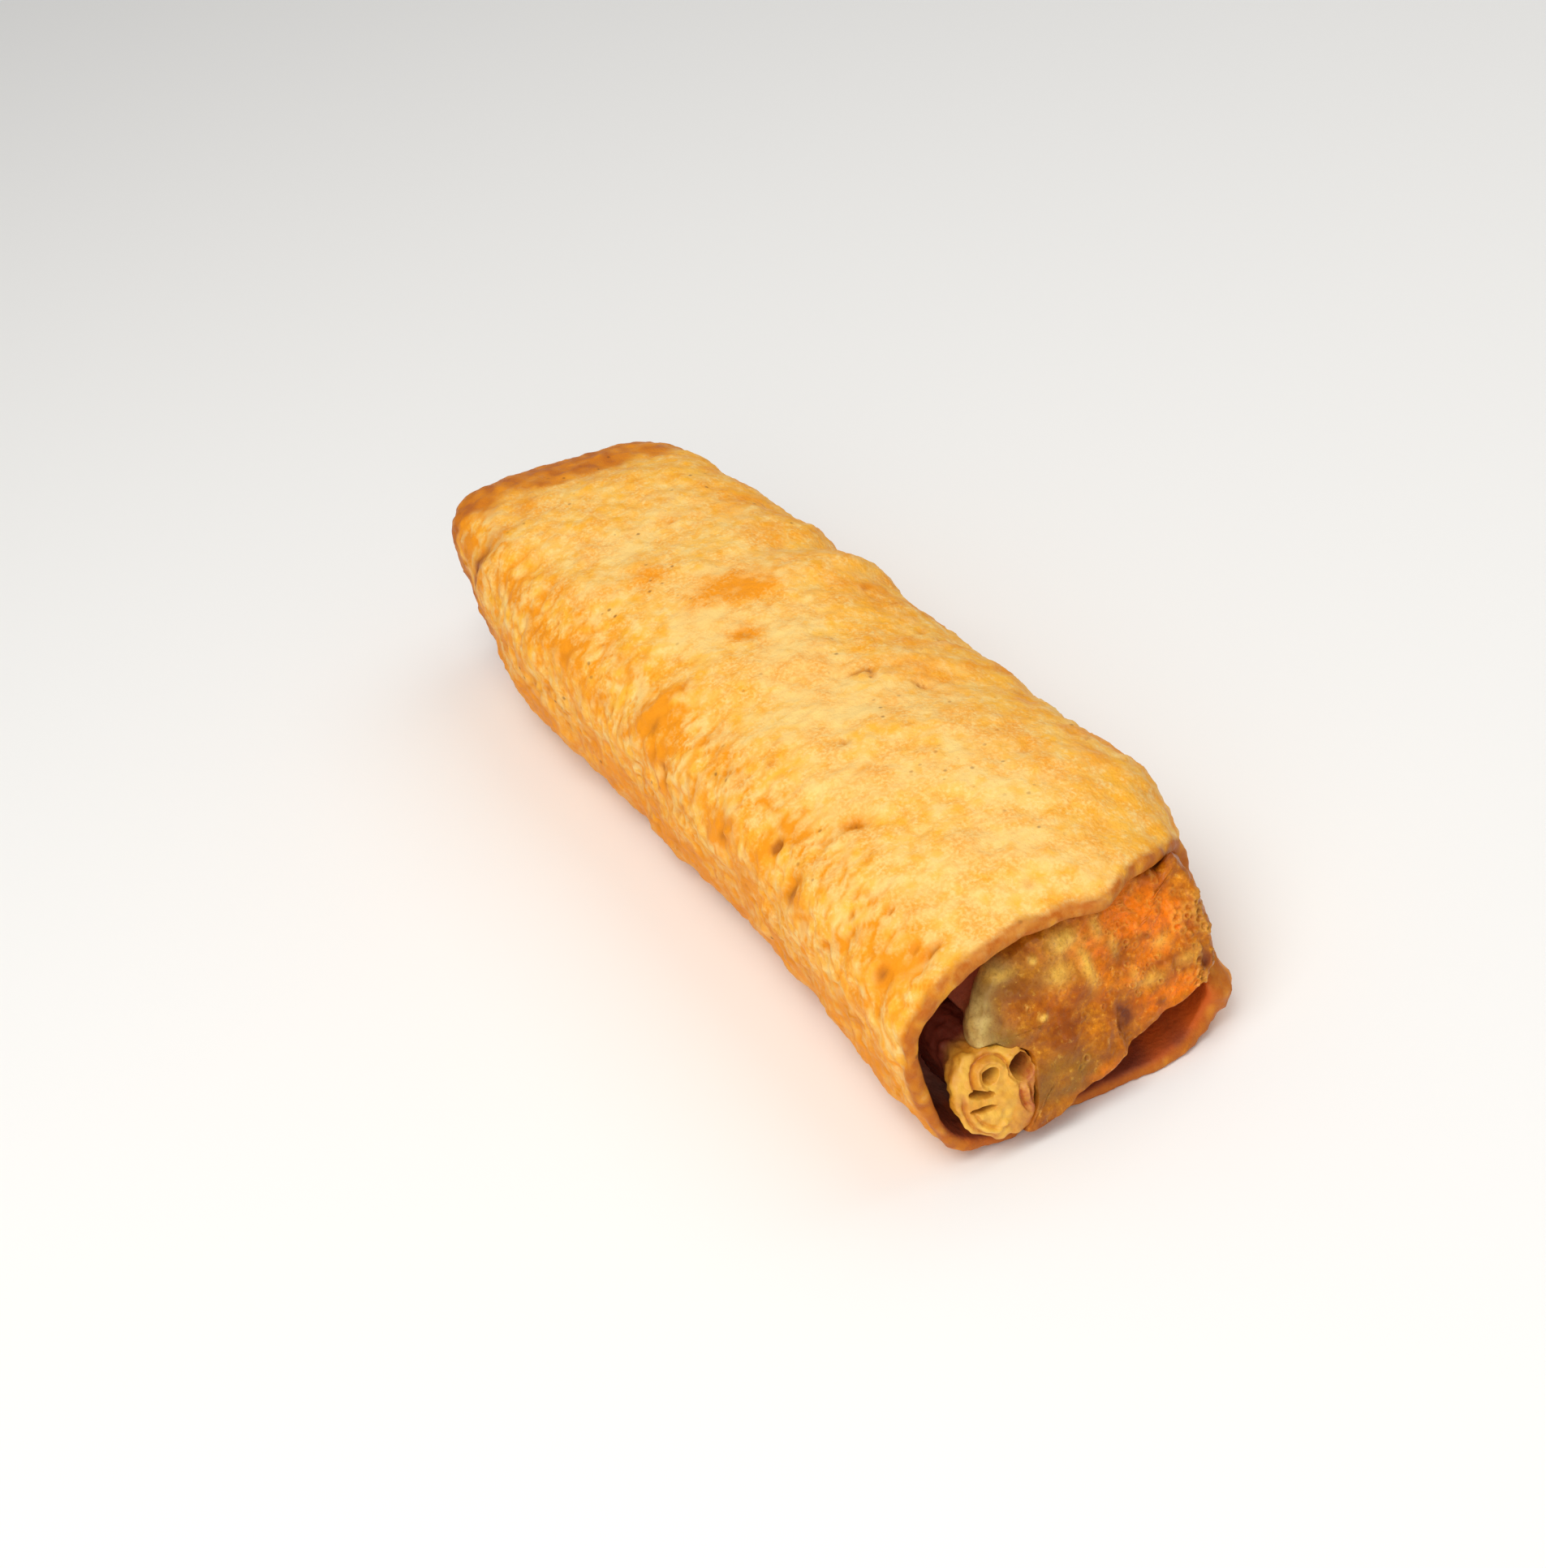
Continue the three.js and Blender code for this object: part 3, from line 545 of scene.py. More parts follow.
def turn_between(degrees, start):
    """The angle from one direction to another, from -180 to 180 degrees."""
    return (degrees - start + 180) % 360 - 180


def bell(value, spread=1.0):
    """A Gaussian: exp(-(value / spread)^2)."""
    return np.exp(-((value / spread) ** 2))


def angle_bell(phi, angle, spread):
    """A Gaussian of how many degrees a direction lies from an angle."""
    return bell(turn_between(np.degrees(phi), angle), spread)


def aside(phi, angle, start, full):
    """Where a direction lies to the side of an angle: a smooth step in the degrees between them."""
    return smoothstep(np.abs(turn_between(np.degrees(phi), angle)), start, full)


def through(table, x, column):
    """A smooth curve through a column of a table: cubic pieces with the slopes of the chords beside."""
    table = np.asarray(table, float)
    knots, values = table[:, 0], table[:, column]
    widths = np.diff(knots)
    chords = np.diff(values) / widths
    slopes = np.append(chords, chords[-1])
    slopes[1:-1] = (chords[:-1] * widths[1:] + chords[1:] * widths[:-1]) / (widths[:-1] + widths[1:])
    piece = np.clip(np.searchsorted(knots, x, side="left") - 1, 0, len(widths) - 1)
    width = widths[piece]
    t = np.clip((x - knots[piece]) / width, 0, 1)
    start = (2 * t**3 - 3 * t**2 + 1) * values[piece] + (t**3 - 2 * t**2 + t) * width * slopes[piece]
    end = (3 * t**2 - 2 * t**3) * values[piece + 1] + (t**3 - t**2) * width * slopes[piece + 1]
    return start + end


def squareness(x, up):
    """How square the section is: its own squareness above, and more below."""
    above = through(SECTIONS, x, SQUARENESS)
    return SQUARE_BELOW + (above - SQUARE_BELOW) * (1 + up) / 2


def section_point(x, phi, inset):
    """The point of the flattened round section at place x and angle phi, moved in towards the roll's middle:
    y = middle + half width * cos * k + lean, z = middle + half height * sin * k + tilt, where
    k keeps |cos|^n + |sin|^n at 1 and n is the squareness, which is greater below."""
    half_width = through(SECTIONS, x, HALF_WIDTH) - inset
    half_height = through(SECTIONS, x, HALF_HEIGHT) - inset
    across, up = np.cos(phi), np.sin(phi)
    square = squareness(x, up)
    k = (np.abs(across) ** square + np.abs(up) ** square) ** (-1 / square)
    y = through(SECTIONS, x, ACROSS) + half_width * across * k + LEAN * half_height * up * k
    tilt = through(SECTIONS, x, TILT) * half_width * across * k * (1 + up) / 2
    z = through(SECTIONS, x, UP) + half_height * up * k + tilt
    return np.stack([x + 0 * y, y, np.maximum(z, 0)], -1)


def mouth_edge(phi):
    """How far along the roll the mouth's edge lies: half the length, a slant, and Gaussian waves."""
    edge = LENGTH / 2 + MOUTH_SLANT_ACROSS * np.cos(phi) + MOUTH_SLANT_UP * np.sin(phi)
    for angle, spread, out in MOUTH_WAVES:
        edge = edge + out * angle_bell(phi, angle, spread)
    return edge


def ripples(table, phi):
    """A sum of sines round the roll: height, waves round it and phase each."""
    return sum(rise * np.sin(count * phi + phase) for rise, count, phase in table)


def ragged_edge(phi):
    """The mouth's edge with its small ragged waves."""
    return mouth_edge(phi) + ripples(MOUTH_RAGGED, phi)


def seam_angle(x, phi):
    """How many degrees a point lies above the sealed seam, whose edge runs up to a tip and back down."""
    seam = SEAM_TIP_ANGLE - SEAM_DROP * np.abs(x - SEAM_TIP_PLACE) / SEAM_RUN
    return turn_between(np.degrees(phi), seam)


def crust_relief(x, phi):
    """The height of the crust's large blisters, its long swells and the sealed seam at place x and angle phi:
    a sum of Gaussians, a sum of sines, and a smooth step that fades away from the seam."""
    radius = BODY_SECTION[HALF_HEIGHT] + WALL
    height = np.zeros(np.broadcast(x, phi).shape)
    for rise, along, count, phase in SWELLS:
        height += rise * np.sin(TURN * along * x / LENGTH + count * phi + phase)
    for place, angle, along, wide, rise in BLISTERS:
        arc = np.radians(turn_between(np.degrees(phi), angle)) * radius
        height += rise * bell(x - place, along) * bell(arc, wide)
    above = seam_angle(x, phi)
    step = smoothstep(above, -SEAM_SOFTNESS, SEAM_SOFTNESS) * bell(above, SEAM_FADE)
    height += SEAM_HEIGHT * step * (1 - smoothstep(np.abs(x - SEAM_TIP_PLACE), *SEAM_ENDS))
    return height * (1 - smoothstep(-np.sin(phi), *FLAT_BELOW))


def waves(points, length, count, seed):
    """A smooth random field of about unit spread: a sum of plane cosine waves of nearly one length."""
    SPREAD = (0.75, 1.35)
    rng = np.random.default_rng(seed)
    directions = rng.normal(size=(count, 3))
    directions /= np.linalg.norm(directions, axis=1, keepdims=True)
    turns = TURN / (length * rng.uniform(*SPREAD, count))
    phases = rng.uniform(0, TURN, count)
    field = sum(np.cos(points @ way * turn + phase) for way, turn, phase in zip(directions, turns, phases))
    return field * np.sqrt(2 / count)


def lumps(points, table):
    """A sum of random fields: height, wave length, how many waves and seed each."""
    return sum(height * waves(points, *field) for height, *field in table)


def outward(points):
    """Unit normals of a grid whose columns go round: the cross product of its two central differences."""
    along = np.gradient(points, axis=0)
    around = np.roll(points, -1, axis=1) - np.roll(points, 1, axis=1)
    normals = np.cross(around, along)
    return normals / np.maximum(np.linalg.norm(normals, axis=-1, keepdims=True), 1e-9)


def dome(r):
    """A round bubble: (1 - r^2)^2 inside r = 1, and nothing outside."""
    return np.clip(1 - r * r, 0, 1) ** 2


def rim_of(r):
    """Where a burst bubble's rim is: a Gaussian about its radius."""
    return bell(r - RIM_RADIUS, RIM_WIDTH)


def burst(r):
    """A bubble that has burst: a raised rim about a hollow, as a difference of two Gaussians."""
    return RIM_HEIGHT * rim_of(r) - HOLLOW_DEPTH * bell(r, HOLLOW_WIDTH)


def round_radius(phi):
    """The length of arc that one radian of angle spans on the flattened section."""
    return np.hypot(BODY_SECTION[HALF_HEIGHT] * np.cos(phi), BODY_SECTION[HALF_WIDTH] * np.sin(phi))


def oval_distance(x, phi, place, angle, along, wide, turn=0.0):
    """The distance of skin points from an oval's middle, in its own half sizes: 1 on its outline."""
    a = x - place
    b = np.radians(turn_between(np.degrees(phi), angle)) * round_radius(np.radians(angle))
    c, s = np.cos(np.radians(turn)), np.sin(np.radians(turn))
    return np.hypot((c * a + s * b) / along, (c * b - s * a) / wide)


def scatter_blisters(x, phi, count, height):
    """Small blisters strewn over the crust: the sum of their domes and burst rings, and masks of both."""
    rng = np.random.default_rng(BLISTER_SEED)
    relief, tops, pits = (np.zeros(x.shape) for _ in range(3))
    columns = len(phi)
    for share, start, end, low, high, sizes, heights, burst_share in BLISTER_FIELDS:
        for _ in range(int(round(count * share))):
            place, angle = rng.uniform(start, end), rng.uniform(low, high)
            size = sizes[0] * (sizes[1] / sizes[0]) ** rng.random()
            rise = rng.uniform(*heights) * height * min(1, size / sizes[0] / BLISTER_GROWN)
            stretch = rng.uniform(*BLISTER_STRETCH)
            turn = rng.uniform(0, 180)
            arc = np.degrees(BLISTER_REACH * size / round_radius(np.radians(angle))) * BLISTER_STRETCH[1]
            reach = int(np.ceil(arc * columns / 360)) + 1
            near = (int(round(angle / 360 * columns)) + np.arange(-reach, reach + 1)) % columns
            r = oval_distance(x[:, near], phi[near], place, angle, size * stretch, size / stretch, turn)
            if rng.random() < burst_share:
                relief[:, near] += rise * burst(r)
                pits[:, near] += bell(r, PIT_WIDTH) * min(1, rise / PIT_FULL)
            else:
                relief[:, near] += rise * dome(r)
                tops[:, near] += dome(r) * min(1, rise / TOP_FULL)
    return relief, tops, pits


def crackle(rows, phi):
    """The crackled side's narrow cracks, and where that side is dry: the cracks run where a random field,
    drawn out round the roll, is near zero, as a Gaussian of that field."""
    start, end = CRACKLE_ANGLES
    half = (end - start) / 2
    side = 1 - aside(phi, (start + end) / 2, half - CRACKLE_SOFTNESS, half)
    x = rows[..., 0]
    arc = phi * (BODY_SECTION[HALF_WIDTH] + BODY_SECTION[HALF_HEIGHT]) / 2 / CRACKLE_STRETCH
    field = waves(np.stack([x, arc + 0 * x, 0 * x], -1), *CRACKLE_FIELD)
    return bell(field, CRACKLE_NARROW) * side, side * smoothstep(x, *CRACKLE_DRY)


def stamp_marks(x, phi, marks):
    """The crust's own marks, each a turned Gaussian oval: the sum of their heights, and a mask of them."""
    relief, mask = np.zeros(x.shape), np.zeros(x.shape)
    for *oval, rise in marks:
        mark = bell(oval_distance(x, phi, *oval))
        relief += rise * mark
        mask += mark * min(1, abs(rise) / MARK_FULL)
    return relief, np.clip(mask, 0, 1)


def shoulder_depth(phi):
    """How far in the tucked shoulder's edge reaches: its depth and its waves."""
    return SHOULDER_DEPTH + ripples(SHOULDER_WAVES, phi)


def shoulder_rows(turned, phi, offset):
    """Rows of the tucked shoulder, a quarter turn from the body (0) to the end's face (1), set in by an
    offset."""
    beta = turned[:, None] * np.pi / 2
    x = -LENGTH / 2 + offset + (SHOULDER_LENGTH - offset) * (1 - np.sin(beta)) + 0 * phi
    relief = crust_relief(x, phi) * np.cos(beta) if offset == 0 else 0
    return section_point(x, phi, offset + shoulder_depth(phi) * (1 - np.cos(beta)) - relief)


def body_place(u, phi, edge):
    """The body's place at fraction u of the way from the tucked shoulder to where the mouth's lip starts."""
    start = -LENGTH / 2 + SHOULDER_LENGTH
    return start + (edge(phi) - WALL / 2 - start) * u


def skin_rows(count, phi, edge):
    """Rows of the body's outer skin from the tucked shoulder to the mouth's lip."""
    x = body_place(np.linspace(0, 1, count)[:, None], phi, edge)
    return section_point(x, phi, -crust_relief(x, phi))


def angles_round(columns):
    """The angles of a grid's columns."""
    return TURN * np.arange(columns) / columns


def frame_shift():
    """How far the frame's solids lie off the shape's axes: the frame starts at its footprint's middle."""
    SOLID_ROWS, SOLID_COLUMNS = 31, 60
    low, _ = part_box("outer_wrap")
    skin = skin_rows(SOLID_ROWS, angles_round(SOLID_COLUMNS), mouth_edge)
    return np.array([low.x + LENGTH / 2 * MM, low.y - skin[..., 1].min() * MM, 0.0])


SHIFT = frame_shift()


def fractions(count):
    """Fractions after 0 up to 1, as a column of one less than some count."""
    return np.linspace(0, 1, count)[1:, None]


def raised(rows, height):
    """A grid's points moved along their normals."""
    return rows + outward(rows) * height[..., None]


def grid_mesh(name, rows, poles=None):
    """A closed mesh over rows of points in millimetres, whose columns go round. The rows close on themselves,
    or end in a pole at each side."""
    count, columns = rows.shape[:2]
    points = rows.reshape(-1, 3)
    spans = count if poles is None else count - 1
    i, j = np.meshgrid(np.arange(spans), np.arange(columns), indexing="ij")
    after, beside = (i + 1) % count, (j + 1) % columns
    row, next_row = i * columns, after * columns
    quads = np.stack([row + j, row + beside, next_row + beside, next_row + j], -1)
    corners = [quads.reshape(-1)]
    sizes = [np.full(spans * columns, 4)]
    if poles is not None:
        first, last = len(points), len(points) + 1
        points = np.concatenate([points, np.asarray(poles, float)])
        here = np.arange(columns)
        there = (here + 1) % columns
        end = (count - 1) * columns
        corners.append(np.stack([np.full(columns, first), there, here], -1).reshape(-1))
        corners.append(np.stack([end + here, end + there, np.full(columns, last)], -1).reshape(-1))
        sizes.append(np.full(2 * columns, 3))
    corners, sizes = np.concatenate(corners), np.concatenate(sizes)
    mesh = bpy.data.meshes.new(name)
    mesh.vertices.add(len(points))
    mesh.vertices.foreach_set("co", (points * MM + SHIFT).astype(np.float32).reshape(-1))
    mesh.loops.add(len(corners))
    mesh.loops.foreach_set("vertex_index", corners.astype(np.int32))
    mesh.polygons.add(len(sizes))
    mesh.polygons.foreach_set("loop_start", (np.cumsum(sizes) - sizes).astype(np.int32))
    mesh.polygons.foreach_set("use_smooth", np.ones(len(sizes), bool))
    mesh.update(calc_edges=True)
    mesh.validate()
    return mesh


def new_piece(name, rows, masks, node, slot, colours, poles=None):
    """A piece over a grid, with one attribute for each mask and a fried skin, that stands for a solid of the
    frame."""
    mesh = grid_mesh(name, rows, poles)
    for label, values in masks.items():
        values = np.clip(values, 0, 1).reshape(-1)
        if poles is not None:
            values = np.concatenate([values, values[[0, -1]]])
        mesh.attributes.new(label, "FLOAT", "POINT").data.foreach_set("value", values.astype(np.float32))
    mesh.materials.append(fried_material(slot, colours))
    piece = bpy.data.objects.new(name, mesh)
    bpy.context.scene.collection.objects.link(piece)
    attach(piece, "root")
    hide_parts(node)


def outer_wrap_grid(blister_count, blister_height):
    """The last turn as one closed grid: the tucked shoulder, the skin, a half-round lip at the mouth, and the
    bore back to the tucked lip, with rows crowded near the mouth. Fine relief moves the points along their
    normals. Also masks of its colours."""
    COLUMNS, SKIN_ROWS, SHOULDER_ROWS, LIP_ROWS, BORE_ROWS, TUCKED_ROWS = 300, 256, 12, 13, 22, 6
    CROWDING = 1.6
    phi = angles_round(COLUMNS)
    shoulder = np.linspace(1, 0, SHOULDER_ROWS)
    skin = skin_rows(SKIN_ROWS, phi, ragged_edge)[1:]
    f = np.linspace(0, 1, LIP_ROWS + 2)[1:-1, None]
    share = (1 - np.cos(f * np.pi)) / 2
    lip_x = ragged_edge(phi) - WALL / 2 * (1 - np.sin(f * np.pi))
    lip = section_point(lip_x, phi, WALL * share - crust_relief(lip_x, phi) * (1 - share))
    back = np.linspace(0, 1, BORE_ROWS)[:, None]
    bore_x = body_place(1 - back**CROWDING, phi, ragged_edge)
    bore = section_point(bore_x, phi, WALL)
    inner = shoulder_rows(fractions(SHOULDER_ROWS)[:, 0], phi, WALL)
    t = np.linspace(1, 0, TUCKED_ROWS + 2)[1:-1, None] * np.pi / 2
    tucked_x = -LENGTH / 2 + WALL * (1 - np.cos(t)) + 0 * phi
    tucked = section_point(tucked_x, phi, shoulder_depth(phi) + WALL * np.sin(t))
    rows = np.concatenate([shoulder_rows(shoulder, phi, 0), skin, lip, bore, inner, tucked])

    x = rows[..., 0]
    on_skin = np.zeros(len(rows))
    on_skin[:SHOULDER_ROWS] = 1 - shoulder**3
    on_skin[SHOULDER_ROWS:SHOULDER_ROWS + len(skin)] = 1
    lip_start = SHOULDER_ROWS + len(skin)
    on_skin[lip_start:lip_start + LIP_ROWS] = 1 - share[:, 0]
    on_skin = on_skin[:, None]
    side = aside(phi, *SIDES)
    fine, tops, pits = scatter_blisters(x, phi, blister_count, blister_height)
    marks, mark_pits = stamp_marks(x, phi, PITS)
    bumps, mark_tops = stamp_marks(x, phi, BUMPS)
    fine += marks + bumps
    for seed, (length, top_rise, side_rise) in enumerate(WRINKLES, WRINKLE_SEED):
        fine += waves(rows, length, WRINKLE_WAVES, seed) * (top_rise + (side_rise - top_rise) * side)
    cracks, crackled = crackle(rows, phi)
    fine -= CRACKLE_DEPTH * cracks * (CRACKLE_EVEN + (1 - CRACKLE_EVEN) * waves(rows, *CRACKLE_UNEVEN_FIELD))
    fine = fine * on_skin + lumps(rows, BORE_ROUGHNESS) * (1 - on_skin)
    rows = raised(rows, fine)
    rows[..., 2] = np.maximum(rows[..., 2], 0)
    tops, pits = np.maximum(tops, mark_tops), np.maximum(pits, mark_pits)
    return rows, crust_masks(rows, phi, on_skin, side, tops, pits, mark_pits, cracks, crackled)


def crust_masks(rows, phi, on_skin, side, tops, pits, mark_pits, cracks, crackled):
    """Where the crust is toasted, orange, pale or scorched and how its bore is coloured, each from 0 to 1:
    sums of soft steps, ovals and random fields, with the shares and steps of the tables."""
    x = rows[..., 0]
    down = -np.sin(phi)
    to_edge = ragged_edge(phi) - x
    tops, pits = np.clip(tops, 0, 1), np.clip(pits, 0, 1)
    drift, mottle, small = (waves(rows, *field) for field in CRUST_FIELDS)

    def step(name, value):
        """A smooth step between the table's two values of some name."""
        return smoothstep(value, *CRUST_STEPS[name])

    far_end = step("far end", -x + CRUST_UNEVEN["far end"] * mottle)
    # painted light: paler on the top, less so towards the far end
    top = angle_bell(phi, *PAINTED_TOP_LIGHT) * (1 - far_end) * (0.55 + 0.45 * step("near top", x))
    strewn = step("strewn", mottle + CRUST_UNEVEN["strewn"] * drift)
    patches = sum(strength * bell(oval_distance(x, phi, *oval) + CRUST_UNEVEN["patches"] * small)
                  for *oval, strength in ORANGE_PATCHES)
    places = {
        "far end": far_end,
        # painted shade: browner and more orange on the low sides
        "shaded low sides": aside(phi, *SHADED_LOW_SIDES),
        "lip": 1 - step("lip", to_edge + CRUST_UNEVEN["lip"] * small),
        "seam": bell(seam_angle(x, phi), SEAM_BROWN) * (np.abs(x - SEAM_TIP_PLACE) < SEAM_RUN),
        "underside": step("underside", down),
        "fold": bell(oval_distance(x, phi, *FOLD_BROWN)),
        "mottled sides": side * (0.5 + 0.5 * mottle),
        "pits": pits,
        "patches": patches * (1 + CRUST_UNEVEN["patches"] * small),
        "strewn": strewn,
        "strewn sides": strewn * aside(phi, *STREWN_SIDES),
        "cracks": cracks,
        # painted light: pale on the top and on the blister tops
        "top": top,
        "drifting top": top * step("drifting top", drift),
        "blister tops": tops,
        "light specks": step("light specks", small),
        "dark specks": step("dark specks", -small),
        "dry crackle": crackled * (1 - cracks) * step("dry crackle", small + mottle),
        "strewn pits": pits**2 * (0.5 + 0.5 * side),
        "mark pits": mark_pits**3,
    }
    toast, amber, pale, scorch = (
        sum(share * places[name] for name, share in shares.items()) for shares in CRUST_SHARES.values())
    below = step("below", down)
    # below, the bore's colours, with their painted maroon shade, reach out over the lower lip
    in_bore = step("bore", (to_edge + 0.4 * below) / (1 - 0.6 * below)) * step("bore end", x)
    # painted shade: darker maroon towards the bore's left
    maroon = step("maroon", -rows[..., 1] + CRUST_UNEVEN["maroon"] * mottle)
    return {
        "toast": toast * (1 + CRUST_UNEVEN["toast"] * small),
        "amber": np.maximum(amber * on_skin, far_end),
        "pale_gold": np.clip(pale, 0, 1) * on_skin,
        "scorch": scorch * on_skin,
        "bore": in_bore * (1 - on_skin),
        "maroon": maroon * (1 - 0.4 * step("maroon gaps", small)) * (1 - on_skin),
        # painted light: the shaded bore lightened further in
        "deep_inside": step("deep bore", to_edge / (1 + 1.5 * below)) * (1 - on_skin),
    }


def around(table, phi):
    """A smooth closed curve through a table of angles and reaches."""
    laps = [(angle + lap, reach) for lap in (-360, 0, 360) for angle, reach in table]
    return through(laps, np.degrees(phi), 1)


def clear_of_bore(x, y, z):
    """Whether points clear the bore: |across|^n + |up|^n is below 1 in the section set in by the wall, or the
    points lie beyond the mouth's edge."""
    inset = WALL + 2 * GAP
    half_width = through(SECTIONS, x, HALF_WIDTH) - inset
    half_height = through(SECTIONS, x, HALF_HEIGHT) - inset
    up = (z - through(SECTIONS, x, UP)) / half_height
    across = (y - through(SECTIONS, x, ACROSS) - LEAN * half_height * up) / half_width
    angle = np.arctan2(up, across)
    square = squareness(x, np.sin(angle))
    return (np.abs(across) ** square + np.abs(up) ** square < 1) | (x > mouth_edge(angle) + GAP)


def clear_of_curl(y, z):
    """Whether points lie outside the curled edge's outline."""
    a, b = y - CURL_MIDDLE[0], z - CURL_MIDDLE[1]
    return np.hypot(a, b) > around(CURL_REACH, np.arctan2(b, a) % TURN)


def polar(middle, phi, reach):
    """Points at a reach and an angle from a middle, as places across and heights."""
    return middle[0] + reach * np.cos(phi), middle[1] + reach * np.sin(phi)


def clear_reach(x, phi, middle, reach, clear_at):
    """The reach from a middle at place x, drawn in until it is clear: the longest of many trial lengths
    before the first that isn't."""
    TRIALS = 160
    trials = np.linspace(0, 1, TRIALS).reshape(-1, *[1] * np.ndim(x + phi)) * reach
    clear = clear_at(x, *polar(middle, phi, trials))
    return np.where(np.logical_and.accumulate(clear, axis=0), trials, 0).max(axis=0)


def flap_reach(x, phi):
    """The flap's reach from its middle at place x, clear of the bore and of the curled edge."""
    return clear_reach(x, phi, FLAP_MIDDLE, around(FLAP_REACH, phi),
                       lambda x, y, z: clear_of_bore(x, y, z) & clear_of_curl(y, z))


def tightened(tight, phi):
    """The share of an edge's rounding that is left at an angle: 1 less a Gaussian."""
    angle, spread, share = tight
    return 1 - share * angle_bell(phi, angle, spread)


def flap_edge(phi, outline):
    """The place where the flap's side meets its face's rounded edge."""
    return flap_face(*polar(FLAP_MIDDLE, phi, outline)) - FACE_EDGE * tightened(FACE_EDGE_TIGHT, phi)


def flap_outline(phi):
    """The flap's reach where its face's rounded edge starts, found in two steps because the face slopes."""
    reach = around(FLAP_REACH, phi)
    for _ in range(2):
        reach = flap_reach(flap_edge(phi, reach), phi)
    return reach


def drawn_in(neck, behind, phi):
    """How far a side is drawn in, some way behind its edge: a Gaussian round it and a smooth step along."""
    angle, spread, depth, length = neck
    return depth * angle_bell(phi, angle, spread) * smoothstep(behind, 0, length)


def flap_face(y, z):
    """The place of the flap's face at y and z: it slopes back under the lip and steps down at its crease."""
    rise = z - FACE_FOOT_HEIGHT
    slope = FACE_SLOPE * rise + FACE_BEND * np.maximum(rise, 0) ** 2
    below = smoothstep(CREASE_TOP - z, 0, CREASE_FADE)
    beside = smoothstep(y, CREASE_ACROSS - CREASE_WIDTH, CREASE_ACROSS + CREASE_WIDTH)
    beyond = smoothstep(y, CREASE_ACROSS + CREASE_WIDTH, CREASE_ACROSS + CREASE_DIP)
    left = FACE_LEFT_SET_BACK * np.minimum(y, 0) ** 2
    return FACE_FOOT - slope - left - CREASE_STEP * below * beside * (1 - beyond)


def ovals(y, z, table):
    """A sum of Gaussian ovals over the mouth: across, up, half width, half height and strength each."""
    return sum(strength * bell(y - across, wide) * bell(z - up, high)
               for across, up, wide, high, strength in table)


def turned_oval(y, z, across, up, wide, high, turn):
    """The distance of mouth points from a turned oval's middle, in its own half sizes."""
    c, s = np.cos(np.radians(turn)), np.sin(np.radians(turn))
    a, b = y - across, z - up
    return np.hypot((c * a + s * b) / wide, (c * b - s * a) / high)


def flap_relief(y, z, bubble_height):
    """The flap's fine relief over its face: its own marks as turned Gaussians, and scattered bubbles. Also a
    mask of the bubbles' rings and tops, where a painted pale highlight goes."""
    relief, ring_highlights = np.zeros(y.shape), np.zeros(y.shape)
    for *oval, rise in FLAP_MARKS:
        relief += rise * bell(turned_oval(y, z, *oval))
    rng = np.random.default_rng(FLAP_BUBBLE_SEED)
    for count, left, right, low, high, sizes, heights, burst_share in FLAP_BUBBLE_FIELDS:
        for _ in range(count):
            across, up = rng.uniform(left, right), rng.uniform(low, high)
            size, stretch = rng.uniform(*sizes), rng.uniform(*FLAP_BUBBLE_STRETCH)
            rise = rng.uniform(*heights) * bubble_height
            r = turned_oval(y, z, across, up, size * stretch, size / stretch, rng.uniform(0, 180))
            shown = min(1, rise / FLAP_RING_FULL)
            if rng.random() < burst_share:
                relief += rise * burst(r)
                ring_highlights += rim_of(r) * shown
            else:
                relief += rise * dome(r)
                ring_highlights += 0.5 * dome(r) * shown
    return relief, np.clip(ring_highlights, 0, 1)


